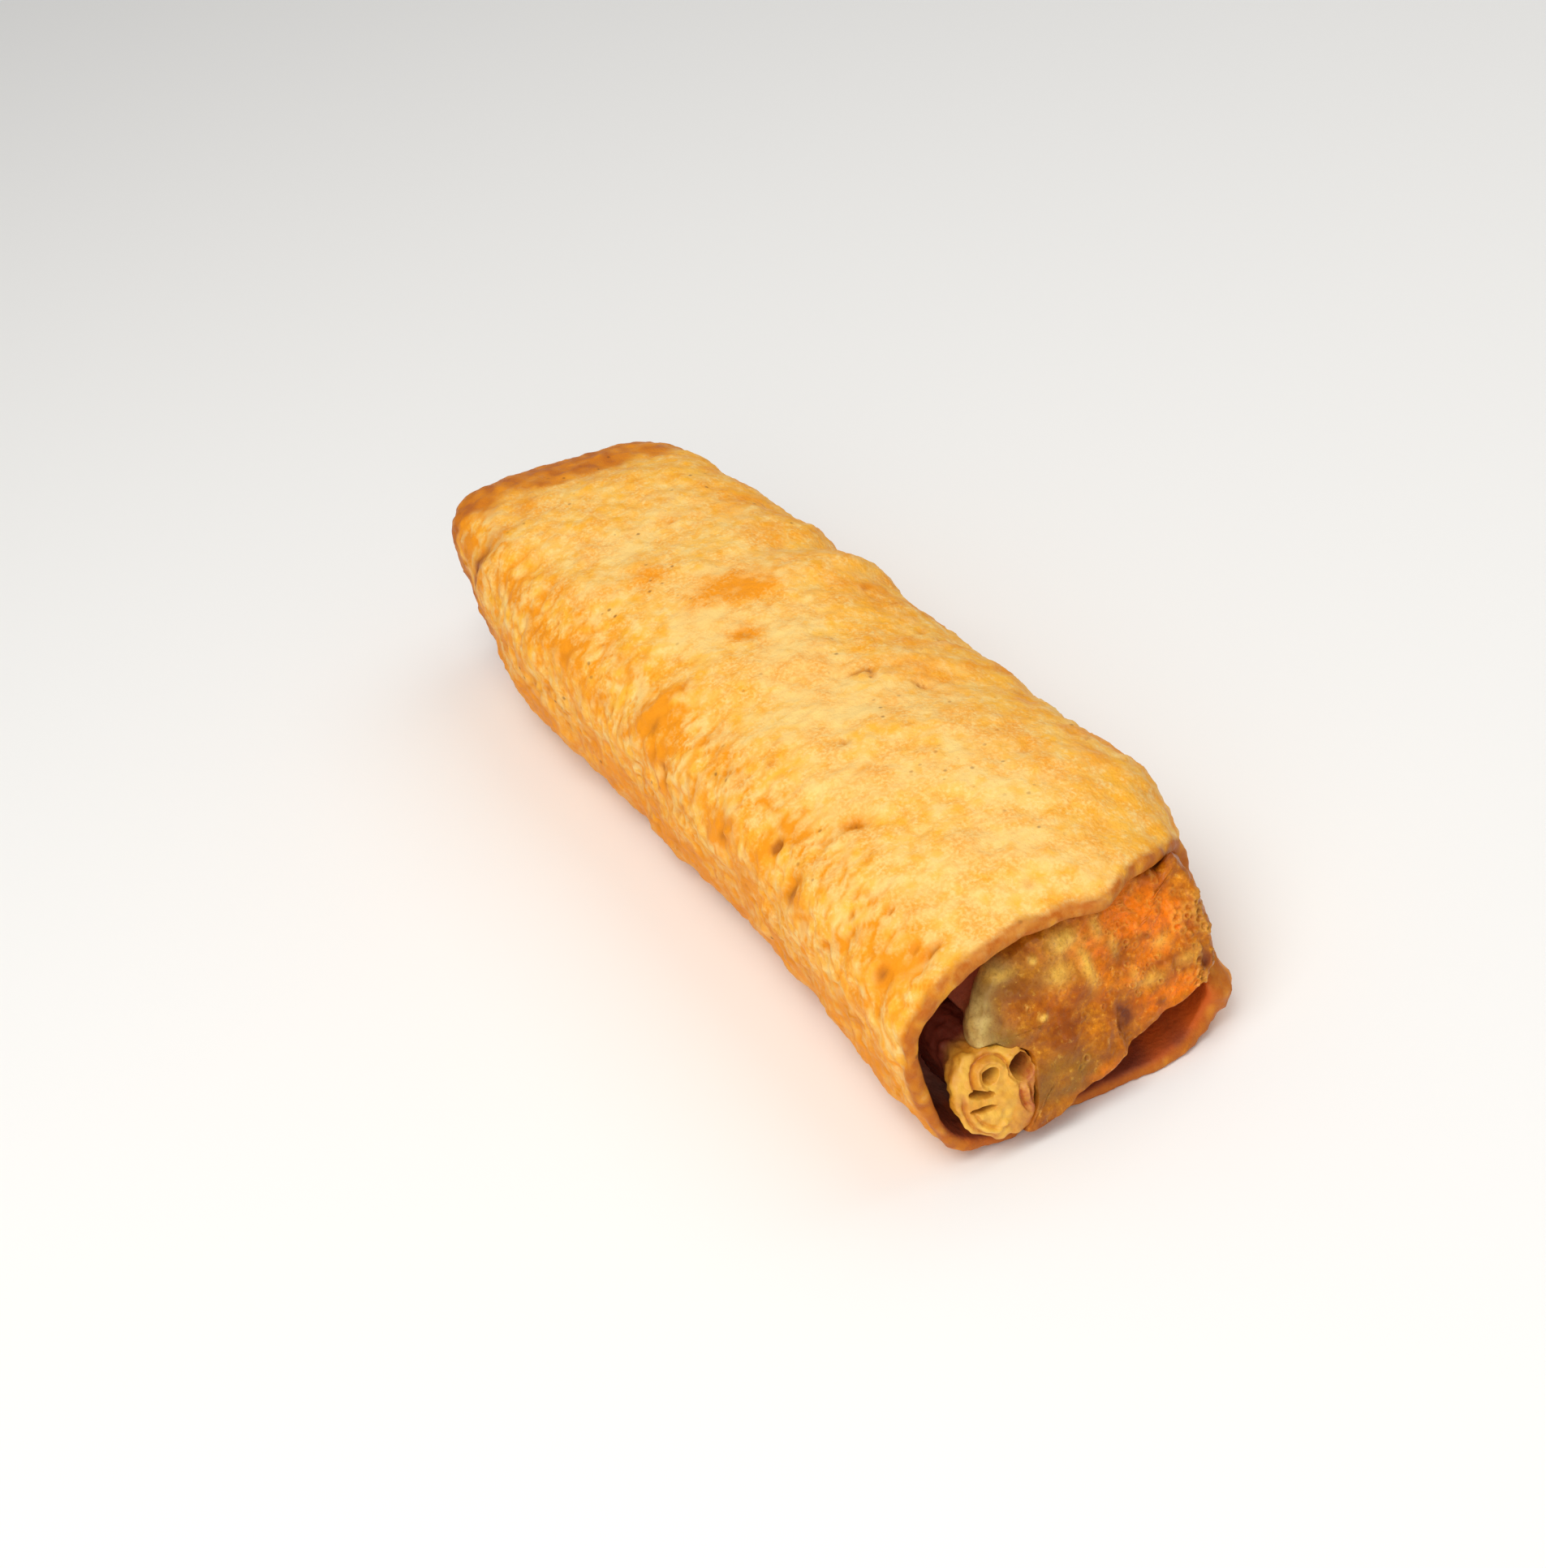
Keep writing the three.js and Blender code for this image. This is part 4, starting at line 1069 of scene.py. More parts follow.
def inner_roll_grid(bubble_height):
    """The folded inner roll as one grid between two poles: the tucked end's face, its shoulder, the core, the
    part that narrows into the flap, the flap's rounded edge and its face. Also masks of its colours."""
    COLUMNS = 420
    END_ROWS, SHOULDER_ROWS, CORE_ROWS, NARROWING_ROWS, EDGE_ROWS, FACE_ROWS = 30, 8, 10, 26, 14, 136
    OFFSET = WALL + GAP
    END_SCALES = (0.02, 0.97)
    FACE_POLE_SCALE = 0.006
    phi = angles_round(COLUMNS)
    scales = np.linspace(*END_SCALES, END_ROWS)[:, None]
    middle = TUCKED_SECTION[UP]
    edge = section_point(np.full(COLUMNS, -LENGTH / 2), phi, OFFSET + shoulder_depth(phi))
    end_y, end_z = edge[:, 1] * scales, middle + (edge[:, 2] - middle) * scales
    fold = smoothstep(end_y - END_FOLD_SLOPE * (end_z - middle), -END_FOLD_SOFTNESS, END_FOLD_SOFTNESS)
    end = np.stack([-LENGTH / 2 + OFFSET - END_BULGE + END_FOLD_STEP * fold, end_y, end_z], -1)
    shoulder = shoulder_rows(np.linspace(1, 0, SHOULDER_ROWS), phi, OFFSET)
    core_x = np.linspace(-LENGTH / 2 + SHOULDER_LENGTH, FLAP_NARROWS_FROM, CORE_ROWS)[1:, None] + 0 * phi
    core = section_point(core_x, phi, OFFSET)
    outline = flap_outline(phi)
    front = flap_edge(phi, outline)
    x = FLAP_NARROWS_FROM + (front - FLAP_NARROWS_FROM) * fractions(NARROWING_ROWS)
    blend = smoothstep(x, FLAP_NARROWS_FROM, FLAP_NARROWS_TO)[..., None]
    reach = flap_reach(x, phi) - drawn_in(FLAP_NECK, front - x, phi)
    flap = np.stack([x, *polar(FLAP_MIDDLE, phi, reach)], -1)
    narrowing = section_point(x, phi, OFFSET) * (1 - blend) + flap * blend
    bend = fractions(EDGE_ROWS) * np.pi / 2
    tight = tightened(FACE_EDGE_TIGHT, phi)
    y, z = polar(FLAP_MIDDLE, phi, outline * (1 - FACE_EDGE_PULL * tight * (1 - np.cos(bend))))
    rounding = np.stack([flap_face(y, z) - FACE_EDGE * tight * (1 - np.sin(bend)), y, z], -1)
    inward = fractions(FACE_ROWS)
    scale = (1 - FACE_EDGE_PULL * tight) * (1 - inward) + FACE_POLE_SCALE * inward
    y, z = polar(FLAP_MIDDLE, phi, outline * scale)
    face = np.stack([flap_face(y, z), y, z], -1)
    rows = np.concatenate([end, shoulder, core, narrowing, rounding, face])

    y, z = rows[..., 1], rows[..., 2]
    shown = smoothstep(rows[..., 0], FLAP_NARROWS_TO, FLAP_FULL)
    tucked = smoothstep(-rows[..., 0], *TUCKED_BAND)
    relief, ring_highlights = flap_relief(y, z, bubble_height)
    relief = (relief + lumps(rows, FLAP_LUMPS)) * shown + lumps(rows, END_LUMPS) * tucked
    rows = raised(rows, relief)
    poles = [(float(rows[0, :, 0].mean()), 0.0, middle), (float(rows[-1, :, 0].mean()), *FLAP_MIDDLE)]
    fields = {name: waves(rows, *field) for name, field in FLAP_FIELDS.items()}
    masks = {}
    for label, table in FLAP_OVALS.items():
        share, name = FLAP_UNEVEN[label]
        masks[label] = ovals(y, z, table) * (1 + share * fields[name])
    masks["orange"] += FLAP_STREWN_SHARE * smoothstep(fields["mottle"], *FLAP_STREWN)
    marks, bubbles = FLAP_PALE_SHARES
    masks["pale"] = np.clip(marks * masks["pale"] + bubbles * ring_highlights, 0, 1)
    masks = {label: values * shown for label, values in masks.items()}
    # deep: a painted colour for the shaded gap behind the face, lighter to make up for light that doesn't
    # reach it
    masks["deep"] = smoothstep(flap_face(y, z) - rows[..., 0], *FLAP_DEEP) * (1 - tucked)
    masks["tucked"] = tucked
    return rows, poles, masks


def curl_front(z):
    """The place of the curled edge's front at a height: it slopes back as the flap does."""
    return CURL_FOOT - CURL_SLOPE * (z - CURL_FOOT_HEIGHT)


def curl_reach(x, phi):
    """The curled edge's reach from its middle at place x, clear of the bore."""
    return clear_reach(x, phi, CURL_MIDDLE, around(CURL_REACH, phi), clear_of_bore)


def curled_edge_grid():
    """The curled edge as one grid between two poles: a stub with a rounded rim and a domed front, whose holes
    are steep wells and whose turns are arcs. Also masks of its painted shade, down its holes and behind its
    front, and of its browned places, whose grooves are partly painted shade."""
    COLUMNS, SIDE_ROWS, EDGE_ROWS, FRONT_ROWS = 400, 30, 10, 130
    POLE_SCALE = 0.01
    BACK_SCALE = 0.5
    phi = angles_round(COLUMNS)
    wobble = 1 + ripples(CURL_WOBBLE, phi)
    full = around(CURL_REACH, phi)
    edge, pull = (size * tightened(CURL_EDGE_TIGHT, phi) for size in (CURL_EDGE, CURL_EDGE_PULL))
    reach = curl_reach(curl_front(CURL_MIDDLE[1] + full * np.sin(phi)) - edge, phi)

    def at(x, reach):
        """Points at some place and some reach from the curled edge's middle, with its wavy outline."""
        y, z = polar(CURL_MIDDLE, phi, reach * wobble)
        return np.stack([x + 0 * y, y, z], -1)

    u = np.linspace(0, 1, SIDE_ROWS)[:, None]
    side_end = curl_front(CURL_MIDDLE[1] + reach * np.sin(phi)) - edge
    side_x = CURL_BACK + (side_end - CURL_BACK) * u
    side = at(side_x, curl_reach(side_x, phi) - drawn_in(CURL_NECK, side_end - side_x, phi))
    bend = fractions(EDGE_ROWS) * np.pi / 2
    drawn = reach * (1 - pull * (1 - np.cos(bend)))
    rim = at(curl_front(CURL_MIDDLE[1] + drawn * np.sin(phi)) - edge * (1 - np.sin(bend)), drawn)
    inward = fractions(FRONT_ROWS)
    scale = (1 - pull) * (1 - inward) + POLE_SCALE * inward
    face = at(curl_front(CURL_MIDDLE[1] + reach * scale * np.sin(phi)) + CURL_DOME * inward, reach * scale)
    back_x = np.full((1, COLUMNS), CURL_BACK)
    back = at(back_x, BACK_SCALE * curl_reach(back_x, phi))
    rows = np.concatenate([back, side, rim, face])
    side_count = len(back) + len(side)
    y, z = rows[..., 1], rows[..., 2]
    behind = curl_front(z) - rows[..., 0]
    front = 1 - smoothstep(behind, *CURL_FRONT)
    arcs = np.zeros(y.shape)
    for across, up, radius, wide, start, end, rise in CURL_ARCS:
        distance = np.hypot(y - across, z - up)
        angle = np.degrees(np.arctan2(z - up, y - across))
        half = (end - start) / 2
        off_middle = np.abs(turn_between(angle, (start + end) / 2))
        along = 1 - smoothstep(off_middle, half - CURL_ARC_FADE, half)
        arcs += rise * bell(distance - radius, wide) * along
    wells, hole_shade = np.zeros(y.shape), np.zeros(y.shape)
    for *oval, deep in CURL_HOLES:
        inside = 1 - smoothstep(turned_oval(y, z, *oval), *CURL_HOLE_WALL)
        wells = np.maximum(wells, deep * inside)
        hole_shade = np.maximum(hole_shade, inside)
    rows = raised(rows, lumps(rows, CURL_LUMPS) + arcs * front)
    rows[side_count:, :, 0] -= (wells * front)[side_count:]
    poles = [(CURL_BACK, *CURL_MIDDLE), (float(rows[-1, :, 0].mean()), *CURL_MIDDLE)]
    spots = smoothstep(waves(rows, *CURL_BROWN_FIELD), *CURL_BROWN_SPOTS)
    browned_side = smoothstep(y - CURL_BROWN_SLANT * (z - CURL_MIDDLE[1]), *CURL_BROWN_SIDE)
    grooves, spot_share, side_share = CURL_BROWN_SHARES.values()
    masks = {
        # painted shade: dark down the holes and behind the front
        "hollow": np.maximum(hole_shade * front, smoothstep(behind, *CURL_BEHIND)),
        # the grooves' share is painted shade; the brown side and spots are browning
        "browned": np.clip(-arcs * grooves, 0, 1) * front + spot_share * spots + side_share * browned_side,
    }
    return rows, poles, masks


def new_tree(name):
    """A material with one Principled shader: the material, its nodes' tree and the shader."""
    material = bpy.data.materials.new(name)
    material.use_nodes = True
    return material, material.node_tree, material.node_tree.nodes["Principled BSDF"]


def put(tree, socket, value):
    """Sets a socket from a number or colour, or links it from another socket."""
    if isinstance(value, bpy.types.NodeSocket):
        tree.links.new(value, socket)
    elif isinstance(value, (tuple, list)) and len(value) == 3 and socket.type == "RGBA":
        socket.default_value = (*value, 1.0)
    else:
        socket.default_value = value


def new_node(tree, kind, values):
    """A node with some of its sockets set or linked."""
    node = tree.nodes.new(kind)
    for label, value in values.items():
        put(tree, node.inputs[label], value)
    return node


def mix_colours(tree, factor, first, second):
    """The mix of two colours by a factor."""
    node = tree.nodes.new("ShaderNodeMix")
    node.data_type = "RGBA"
    put(tree, node.inputs["Factor"], factor)
    put(tree, node.inputs["A"], first)
    put(tree, node.inputs["B"], second)
    return next(s for s in node.outputs if s.type == "RGBA")


def calculate(tree, operation, first, second, clamped=False):
    """A sum of two values or another calculation with them."""
    node = tree.nodes.new("ShaderNodeMath")
    node.operation = operation
    node.use_clamp = clamped
    put(tree, node.inputs[0], first)
    put(tree, node.inputs[1], second)
    return node.outputs[0]


def remap(tree, value, low, high, to_low, to_high):
    """A value carried from one range to another, clamped at both ends."""
    node = tree.nodes.new("ShaderNodeMapRange")
    for socket, number in zip(node.inputs, (value, low, high, to_low, to_high)):
        put(tree, socket, number)
    return node.outputs[0]


def ranged(tree, value, low, high):
    """A value from 0 to 1 carried to another range."""
    return remap(tree, value, 0.0, 1.0, low, high)


def mask_value(tree, label):
    """The value of a piece's own attribute."""
    node = tree.nodes.new("ShaderNodeAttribute")
    node.attribute_name = label
    return node.outputs["Fac"]


def noise_value(tree, vector, scale, detail, roughness=0.5):
    """A noise pattern over some coordinates, from 0 to 1."""
    values = {"Vector": vector, "Scale": scale, "Detail": detail, "Roughness": roughness}
    return new_node(tree, "ShaderNodeTexNoise", values).outputs["Fac"]


def new_group(name, inputs, outputs):
    """A node group with named sockets: the group, its input node and its output node."""
    group = bpy.data.node_groups.new(name, "ShaderNodeTree")
    group.interface.new_socket("Vector", in_out="INPUT", socket_type="NodeSocketVector")
    for label, default in inputs.items():
        socket = group.interface.new_socket(label, in_out="INPUT", socket_type="NodeSocketFloat")
        socket.default_value = default
    for label in outputs:
        group.interface.new_socket(label, in_out="OUTPUT", socket_type="NodeSocketFloat")
    return group, group.nodes.new("NodeGroupInput"), group.nodes.new("NodeGroupOutput")


# The three noises of a fried skin's mottle: the name and the usual value of its scale, its detail and
# roughness, and between which of its values it rises from 0 to 1
MOTTLE = {
    "Patches": ("Patch Scale", 140.0, 4.0, 0.55, 0.38, 0.64),
    "Flecks": ("Fleck Scale", 900.0, 3.0, 0.6, 0.42, 0.68),
    "Dots": ("Dot Scale", 2600.0, 2.0, 0.5, 0.4, 0.66),
}


def fried_mottle_group():
    """How frying colours dough unevenly: soft patches at one scale, small flecks at another, fine dots."""
    scales = {name: usual for name, usual, *_ in MOTTLE.values()}
    group, given, made = new_group("Fried Mottle", scales, MOTTLE)
    for label, (name, _, detail, roughness, low, high) in MOTTLE.items():
        noise = noise_value(group, given.outputs["Vector"], given.outputs[name], detail, roughness)
        put(group, made.inputs[label], remap(group, noise, low, high, 0.0, 1.0))
    return group


def fried_grain_group():
    """The grain of a fried skin: fine pores over small soft bubbles, as a height from 0 to 1."""
    group, given, made = new_group(
        "Fried Grain", {"Grain Scale": 2600.0, "Bubble Scale": 1000.0, "Bubble Share": 0.5}, ("Height",))
    vector = given.outputs["Vector"]
    grain = noise_value(group, vector, given.outputs["Grain Scale"], 3.0, 0.6)
    scale = given.outputs["Bubble Scale"]
    cells = new_node(group, "ShaderNodeTexVoronoi", {"Vector": vector, "Scale": scale})
    cells.feature = "SMOOTH_F1"
    bubbles = remap(group, cells.outputs["Distance"], 0.0, 0.75, 1.0, 0.0)
    raised = calculate(group, "MULTIPLY", bubbles, given.outputs["Bubble Share"])
    put(group, made.inputs["Height"], calculate(group, "ADD", grain, raised))
    return group


def use_group(tree, name, make, vector, values):
    """A node group, made once, placed in a material with its own values."""
    node = tree.nodes.new("ShaderNodeGroup")
    node.node_tree = bpy.data.node_groups.get(name) or make()
    put(tree, node.inputs["Vector"], vector)
    for label, value in values.items():
        put(tree, node.inputs[label], value)
    return node


def cell_dots(tree, vector, scale, inner, outer, strength):
    """Small round dots, one to a cell: full within the inner distance of its point, none past the outer."""
    cells = new_node(tree, "ShaderNodeTexVoronoi", {"Vector": vector, "Scale": scale})
    return remap(tree, cells.outputs["Distance"], inner, outer, strength, 0.0)


def towards(tree, colour, colours, label, amount=None):
    """A colour mixed towards a named one, by an amount or else by the piece's own mask of that name."""
    if amount is None:
        amount = mask_value(tree, label)
    return mix_colours(tree, amount, colour, tuple(getattr(colours, label)))


def uneven(tree, label, flecks, low, high):
    """A piece's mask made uneven: times low where there are no flecks, and times high in them."""
    return calculate(tree, "MULTIPLY", mask_value(tree, label), ranged(tree, flecks, low, high), True)


def golden_crust_colour(tree, colours, vector, patches, flecks, dots):
    """Gold that turns pale on top and on its blister tops as painted light, and pale in specks, orange in
    patches, brown where it is toasted, browner and more orange on its low sides as painted shade, and dark in
    pits and specks. The bore has its own colours, with painted shade at its left and painted light further
    in."""
    light = calculate(tree, "MULTIPLY", flecks, ranged(tree, dots, 0.15, 0.9))
    small_spots = cell_dots(tree, vector, scale=640.0, inner=0.12, outer=0.26, strength=0.45)
    light = calculate(tree, "ADD", light, small_spots)
    # pale gold, partly painted light on the top and on the blister tops
    pale = calculate(tree, "ADD", mask_value(tree, "pale_gold"), light, True)
    colour = towards(tree, tuple(colours.gold), colours, "pale_gold", pale)
    warm = calculate(tree, "MULTIPLY", patches, ranged(tree, dots, 0.6, 0.1))
    amber = calculate(tree, "ADD", mask_value(tree, "amber"), warm, True)
    colour = towards(tree, colour, colours, "amber", amber)
    colour = towards(tree, colour, colours, "toast", uneven(tree, "toast", flecks, 0.86, 1.08))
    colour = towards(tree, colour, colours, "scorch")
    speckled = remap(tree, noise_value(tree, vector, scale=90.0, detail=2.0), 0.5, 0.62, 0.0, 0.6)
    specks = cell_dots(tree, vector, scale=420.0, inner=0.06, outer=0.15, strength=1.0)
    colour = towards(tree, colour, colours, "scorch", calculate(tree, "MULTIPLY", specks, speckled))
    # painted shade: maroon at the bore's left
    bore = towards(tree, tuple(colours.inside), colours, "maroon")
    # painted light further into the shaded bore
    bore = towards(tree, bore, colours, "deep_inside")
    return mix_colours(tree, mask_value(tree, "bore"), colour, bore)


def oiled_flap_colour(tree, colours, vector, patches, flecks, dots):
    """Amber brown that turns orange, pale on its bubbles, and olive grey low on its left. Painted light and
    shade
    on it: a sheen and olive grey along its left edge, highlights on its bubbles, beads and bumps and in its
    bright orange at the top right and bottom edge, shade in its crease, and a lighter colour in the shaded
    gap behind its edge.
    """
    mixed = calculate(tree, "MULTIPLY", patches, ranged(tree, flecks, 0.35, 1.0))
    colour = towards(tree, tuple(colours.amber_brown), colours, "ochre", mixed)
    # orange, partly a painted highlight at the top right and near the bottom edge
    colour = towards(tree, colour, colours, "orange", uneven(tree, "orange", flecks, 0.8, 1.1))
    # olive grey, along the left edge partly a painted grey sheen
    colour = towards(tree, colour, colours, "olive", uneven(tree, "olive", flecks, 0.85, 1.1))
    # a painted sheen, a pale reflection along the left edge
    colour = towards(tree, colour, colours, "sheen")
    # pale on bubbles, beads and bumps, partly a painted highlight
    colour = towards(tree, colour, colours, "pale", uneven(tree, "pale", flecks, 0.7, 1.1))
    colour = towards(tree, colour, colours, "pale", remap(tree, flecks, 0.8, 1.0, 0.0, 0.22))
    colour = towards(tree, colour, colours, "shade", remap(tree, dots, 0.0, 0.15, 0.2, 0.0))
    # deep: painted light in the shaded gap behind the flap's edge
    for label in ("tucked", "shade", "deep"):
        colour = towards(tree, colour, colours, label)
    return colour


def pale_curl_colour(tree, colours, vector, patches, flecks, dots):
    """Creamy yellow that browns in its grooves, partly as painted shade, and goes dark down its holes and
    behind its front as painted shade.
    """
    colour = towards(tree, tuple(colours.cream), colours, "straw", patches)
    # browner in the grooves, partly painted shade
    colour = towards(tree, colour, colours, "browned", uneven(tree, "browned", flecks, 0.7, 1.2))
    return towards(tree, colour, colours, "hollow")


# Each fried skin: its colour, the roughness between its flecks and in them, the mottle's scales, the grain's
# scales and share, the bump's distance in metres and strength, and constants of the shader
SKINS = {
    "golden_crust": {
        "colour": golden_crust_colour,
        "roughness": (0.62, 0.46),
        "mottle": {"Patch Scale": 230.0, "Fleck Scale": 700.0, "Dot Scale": 2300.0},
        "grain": {"Grain Scale": 2400.0, "Bubble Scale": 1100.0, "Bubble Share": 0.8},
        "bump": {"Distance": 0.00016, "Strength": 0.7},
        "shader": {
            "Specular IOR Level": 0.3, "Specular Tint": (1.0, 0.8, 0.5, 1.0),
            "Coat Weight": 0.03, "Coat Roughness": 0.3,
        },
    },
    "oiled_flap": {
        "colour": oiled_flap_colour,
        "roughness": (0.46, 0.28),
        "mottle": {"Patch Scale": 330.0, "Fleck Scale": 1300.0, "Dot Scale": 3000.0},
        "grain": {"Grain Scale": 3200.0, "Bubble Scale": 1400.0, "Bubble Share": 0.6},
        "bump": {"Distance": 0.00012, "Strength": 0.6},
        "shader": {
            "Specular IOR Level": 0.3, "Specular Tint": (1.0, 0.75, 0.4, 1.0),
            "Coat Weight": 0.2, "Coat Roughness": 0.1,
        },
    },
    "pale_curl": {
        "colour": pale_curl_colour,
        "roughness": (0.58, 0.4),
        "mottle": {"Patch Scale": 420.0, "Fleck Scale": 1600.0, "Dot Scale": 3000.0},
        "grain": {"Grain Scale": 3000.0, "Bubble Scale": 1500.0, "Bubble Share": 0.5},
        "bump": {"Distance": 0.00012, "Strength": 0.6},
        "shader": {"Coat Weight": 0.12, "Coat Roughness": 0.25},
    },
}


def fried_material(name, colours):
    """A fried skin: its colour over a mottle, a roughness that follows the flecks, the bump of its grain."""
    skin = SKINS[name]
    material, tree, shader = new_tree(name)
    vector = tree.nodes.new("ShaderNodeTexCoord").outputs["Object"]
    mottle = use_group(tree, "Fried Mottle", fried_mottle_group, vector, skin["mottle"])
    patches, flecks, dots = (mottle.outputs[label] for label in ("Patches", "Flecks", "Dots"))
    put(tree, shader.inputs["Base Color"], skin["colour"](tree, colours, vector, patches, flecks, dots))
    put(tree, shader.inputs["Roughness"], ranged(tree, flecks, *skin["roughness"]))
    for label, value in skin["shader"].items():
        shader.inputs[label].default_value = value
    grain = use_group(tree, "Fried Grain", fried_grain_group, vector, skin["grain"])
    bump = new_node(tree, "ShaderNodeBump", {"Height": grain.outputs["Height"], **skin["bump"]})
    put(tree, shader.inputs["Normal"], bump.outputs["Normal"])
    return material


def colour_property(name, description, colour):
    """A colour that a user may change, from its display steps."""
    return bpy.props.FloatVectorProperty(
        name=name, description=description, subtype="COLOR", size=3, min=0.0, max=1.0,
        default=linear(*colour))


def share_property(name, description):
    """How much of a shape's usual height it has."""
    return bpy.props.FloatProperty(
        name=name, description=description, default=1.0, min=0.0, max=2.0, subtype="FACTOR")


def power_property(name, description, power):
    """A light's power."""
    return bpy.props.FloatProperty(name=name, description=description, default=power, min=0.0, unit="POWER")


class EggRollCrust(bpy.types.PropertyGroup):
    """The last turn's blisters and colours."""

    blister_count: bpy.props.IntProperty(
        name="Blisters", description="How many small blisters are strewn over the crust", default=1300, min=0)
    blister_height: share_property("Blister Height", "How high the blisters are, against their usual height")
    gold: colour_property("Gold", "The crust's main colour", (252, 184, 54))
    # Pale gold on the top and on the blister tops is painted light
    pale_gold: colour_property("Pale Gold", "The crust on top and on its blisters", (252, 212, 128))
    amber: colour_property("Amber", "The crust's orange patches", (244, 152, 20))
    toast: colour_property("Toast", "The crust's browned rims", (184, 98, 22))
    scorch: colour_property("Scorch", "The crust's pits and specks", (104, 48, 20))
    inside: colour_property("Inside", "The bore at the mouth's right", (214, 98, 34))
    # Maroon: painted shade at the bore's left, where the lip and flap shade it
    maroon: colour_property("Maroon", "The bore at the mouth's left", (138, 66, 44))
    # Painted light: the bore further back, lightened where it lies in shade
    deep_inside: colour_property("Deep Inside", "The bore further back", (246, 184, 160))


class EggRollFlap(bpy.types.PropertyGroup):
    """The flap's bubbles and colours."""

    bubble_height: share_property("Bubble Height", "How high the bubbles are, against their usual height")
    amber_brown: colour_property("Amber Brown", "The flap's main colour", (152, 72, 6))
    ochre: colour_property("Ochre", "The flap's lighter patches", (228, 144, 24))
    # Orange at the flap's top right and near its bottom edge is partly a painted highlight
    orange: colour_property("Orange", "The flap's bright patches", (250, 124, 2))
    # Olive along the flap's left edge is partly a painted grey sheen; low on its left it is an olive-brown
    # tone
    olive: colour_property("Olive", "The flap where it is thin and wet", (136, 96, 34))
    # Painted sheen: the pale reflection along the flap's left edge, painted into its colour
    sheen: colour_property("Sheen", "The flap's oiled left edge", (212, 182, 108))
    # Pale on the flap's bubbles, beads and bumps is partly a painted highlight
    pale: colour_property("Pale", "The flap's bubbles", (250, 198, 84))
    tucked: colour_property("Tucked End", "The folds at the tucked end", (214, 136, 46))
    shade: colour_property("Shade", "The flap's creases", (112, 48, 18))
    # Deep: a painted colour for the shaded gap behind the flap's edge, lighter to stand in for light
    deep: colour_property("Deep", "The gap behind the flap's edge", (190, 106, 78))


class EggRollCurl(bpy.types.PropertyGroup):
    """The curled edge's colours."""

    cream: colour_property("Cream", "The curled edge's pale dough", (240, 184, 66))
    straw: colour_property("Straw", "The curled edge's deeper patches", (220, 148, 36))
    # Browned: the grooves' share is painted shade, the right side and spots are browning
    browned: colour_property("Browned", "The curled edge's grooves", (184, 96, 36))
    # Hollow: painted shade down the curled edge's holes and behind its front
    hollow: colour_property("Hollow", "Down the curled edge's holes", (120, 50, 32))


class EggRollStudio(bpy.types.PropertyGroup):
    """The studio's floor and lights."""

    floor_colour: colour_property("Floor", "The floor's colour", (248, 248, 247))
    key_power: power_property("Key", "The main light's power", 2.2)
    fill_power: power_property("Fill", "The fill light's power", 1.6)
    top_power: power_property("Top", "The overhead light's power", 0.85)
    sky_strength: bpy.props.FloatProperty(
        name="Sky", description="The surrounding light's strength", default=0.38, min=0.0, max=2.0)


class EggRollSettings(bpy.types.PropertyGroup):
    """Everything that a user may change about the egg roll."""

    crust: bpy.props.PointerProperty(type=EggRollCrust)
    flap: bpy.props.PointerProperty(type=EggRollFlap)
    curl: bpy.props.PointerProperty(type=EggRollCurl)
    studio: bpy.props.PointerProperty(type=EggRollStudio)


class EGGROLL_OT_outer_wrap(bpy.types.Operator):
    """Build the last turn: the blistered crust with its open mouth and tucked end"""

    bl_idname = "eggroll.outer_wrap"
    bl_label = "Outer Wrap"

    def execute(self, context):
        crust = context.scene.egg_roll.crust
        rows, masks = outer_wrap_grid(crust.blister_count, crust.blister_height)
        new_piece("crust", rows, masks, "outer_wrap", "golden_crust", crust)
        return {"FINISHED"}


class EGGROLL_OT_inner_roll(bpy.types.Operator):
    """Build the folded inner roll, with the flap at the mouth and the folds at the tucked end"""

    bl_idname = "eggroll.inner_roll"
    bl_label = "Inner Roll"

    def execute(self, context):
        flap = context.scene.egg_roll.flap
        rows, poles, masks = inner_roll_grid(flap.bubble_height)
        new_piece("folded_flap", rows, masks, "inner_roll", "oiled_flap", flap, poles)
        return {"FINISHED"}


class EGGROLL_OT_curled_edge(bpy.types.Operator):
    """Build the curled edge of an inner turn, pierced between its turns"""

    bl_idname = "eggroll.curled_edge"
    bl_label = "Curled Edge"

    def execute(self, context):
        rows, poles, masks = curled_edge_grid()
        new_piece("curl", rows, masks, "curled_edge", "pale_curl", context.scene.egg_roll.curl, poles)
        return {"FINISHED"}


def add_light(name, place, power, size, colour):
    """A square area light that looks at the roll's middle."""
    light = bpy.data.lights.new(name, "AREA")
    light.energy = power
    light.size = size
    light.color = colour
    lamp = bpy.data.objects.new(name, light)
    bpy.context.scene.collection.objects.link(lamp)
    lamp.location = place
    lamp.rotation_euler = (-Vector(place)).to_track_quat("-Z", "Y").to_euler()


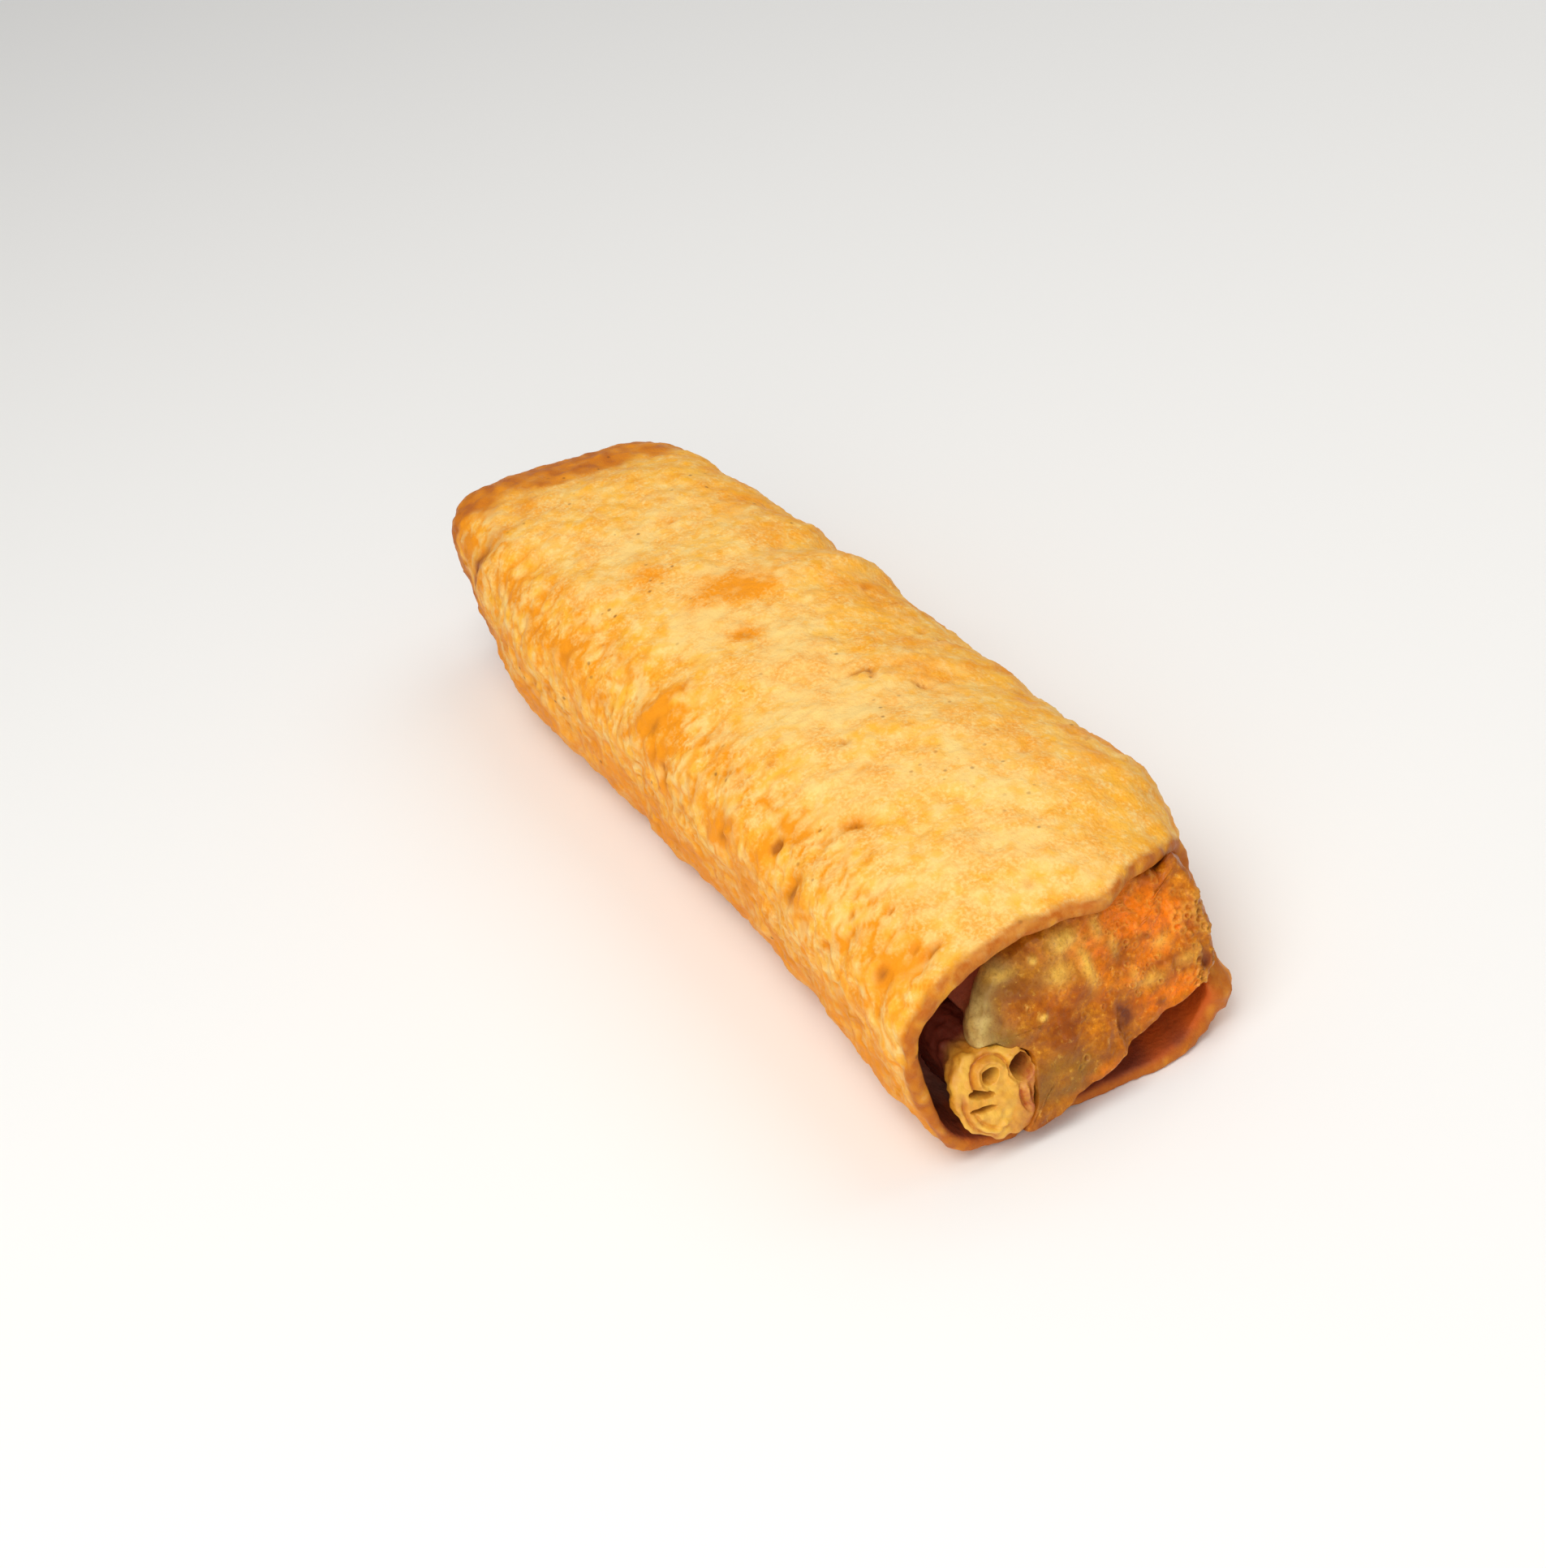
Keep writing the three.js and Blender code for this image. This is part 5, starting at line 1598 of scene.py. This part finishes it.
def add_camera():
    """The camera at the photograph's angle: back from the roll by its azimuth and elevation, then rolled."""
    azimuth, elevation, roll = np.radians([CAMERA_AZIMUTH, CAMERA_ELEVATION, CAMERA_ROLL])
    flat = np.cos(elevation)
    back = np.array([flat * np.cos(azimuth), flat * np.sin(azimuth), np.sin(elevation)])
    level = np.cross([0.0, 0.0, 1.0], back)
    level /= np.linalg.norm(level)
    above = np.cross(back, level)
    right = np.cos(roll) * level + np.sin(roll) * above
    up = np.cos(roll) * above - np.sin(roll) * level
    target = np.array([0.0, 0.0, CAMERA_HEIGHT]) - right * CAMERA_OFFSET_RIGHT - up * CAMERA_OFFSET_UP
    eye = (target + back * CAMERA_DISTANCE) * MM + SHIFT
    data = bpy.data.cameras.new("photo_camera")
    data.sensor_width = SENSOR_WIDTH
    data.lens = CAMERA_LENS
    camera = bpy.data.objects.new("photo_camera", data)
    bpy.context.scene.collection.objects.link(camera)
    camera.matrix_world = Matrix([[right[k], up[k], back[k], eye[k]] for k in range(3)] + [[0, 0, 0, 1]])
    bpy.context.scene.camera = camera


class EGGROLL_OT_studio(bpy.types.Operator):
    """Build the stage: a pale floor, soft lights and the camera"""

    bl_idname = "eggroll.studio"
    bl_label = "Studio"

    def execute(self, context):
        studio = context.scene.egg_roll.studio
        mesh = bpy.data.meshes.new("studio_floor")
        sides = [(-1, -1), (1, -1), (1, 1), (-1, 1)]
        corners = [(FLOOR_HALF * a, FLOOR_HALF * b, -FLOOR_DROP) for a, b in sides]
        mesh.from_pydata(corners, [], [(0, 1, 2, 3)])
        floor = bpy.data.objects.new("studio_floor", mesh)
        context.scene.collection.objects.link(floor)
        material, _, shader = new_tree("studio_floor")
        shader.inputs["Base Color"].default_value = (*studio.floor_colour, 1.0)
        shader.inputs["Roughness"].default_value = FLOOR_ROUGHNESS
        mesh.materials.append(material)
        for name, (place, side, colour) in LIGHTS.items():
            add_light(name + "_light", place, getattr(studio, name + "_power"), side, colour)
        world = context.scene.world or bpy.data.worlds.new("studio_world")
        context.scene.world = world
        world.use_nodes = True
        sky = world.node_tree.nodes["Background"]
        sky.inputs["Color"].default_value = (1.0, 1.0, 1.0, 1.0)
        sky.inputs["Strength"].default_value = studio.sky_strength
        context.scene.view_settings.view_transform = "Standard"
        add_camera()
        return {"FINISHED"}


class EGGROLL_PT_panel(bpy.types.Panel):
    """The egg roll's pieces and settings"""

    bl_label = "Egg Roll"
    bl_space_type = "VIEW_3D"
    bl_region_type = "UI"
    bl_category = "Egg Roll"

    def draw(self, context):
        settings = context.scene.egg_roll
        for operator in OPERATORS:
            self.layout.operator(operator.bl_idname)
        for group in (settings.crust, settings.flap, settings.curl, settings.studio):
            box = self.layout.box()
            for label in group.__annotations__:
                box.prop(group, label)


SETTINGS = (EggRollCrust, EggRollFlap, EggRollCurl, EggRollStudio, EggRollSettings)
OPERATORS = (EGGROLL_OT_outer_wrap, EGGROLL_OT_inner_roll, EGGROLL_OT_curled_edge, EGGROLL_OT_studio)
CLASSES = (*SETTINGS, *OPERATORS, EGGROLL_PT_panel)


def register():
    """Registers the classes and gives the scene its settings."""
    for cls in CLASSES:
        bpy.utils.register_class(cls)
    bpy.types.Scene.egg_roll = bpy.props.PointerProperty(type=EggRollSettings)


def unregister():
    """Takes the settings and classes away again."""
    del bpy.types.Scene.egg_roll
    for cls in reversed(CLASSES):
        bpy.utils.unregister_class(cls)


def main():
    """Builds the pieces and the stage in order."""
    register()
    bpy.ops.eggroll.outer_wrap()
    bpy.ops.eggroll.inner_roll()
    bpy.ops.eggroll.curled_edge()
    bpy.ops.eggroll.studio()


if __name__ == "__main__":
    main()
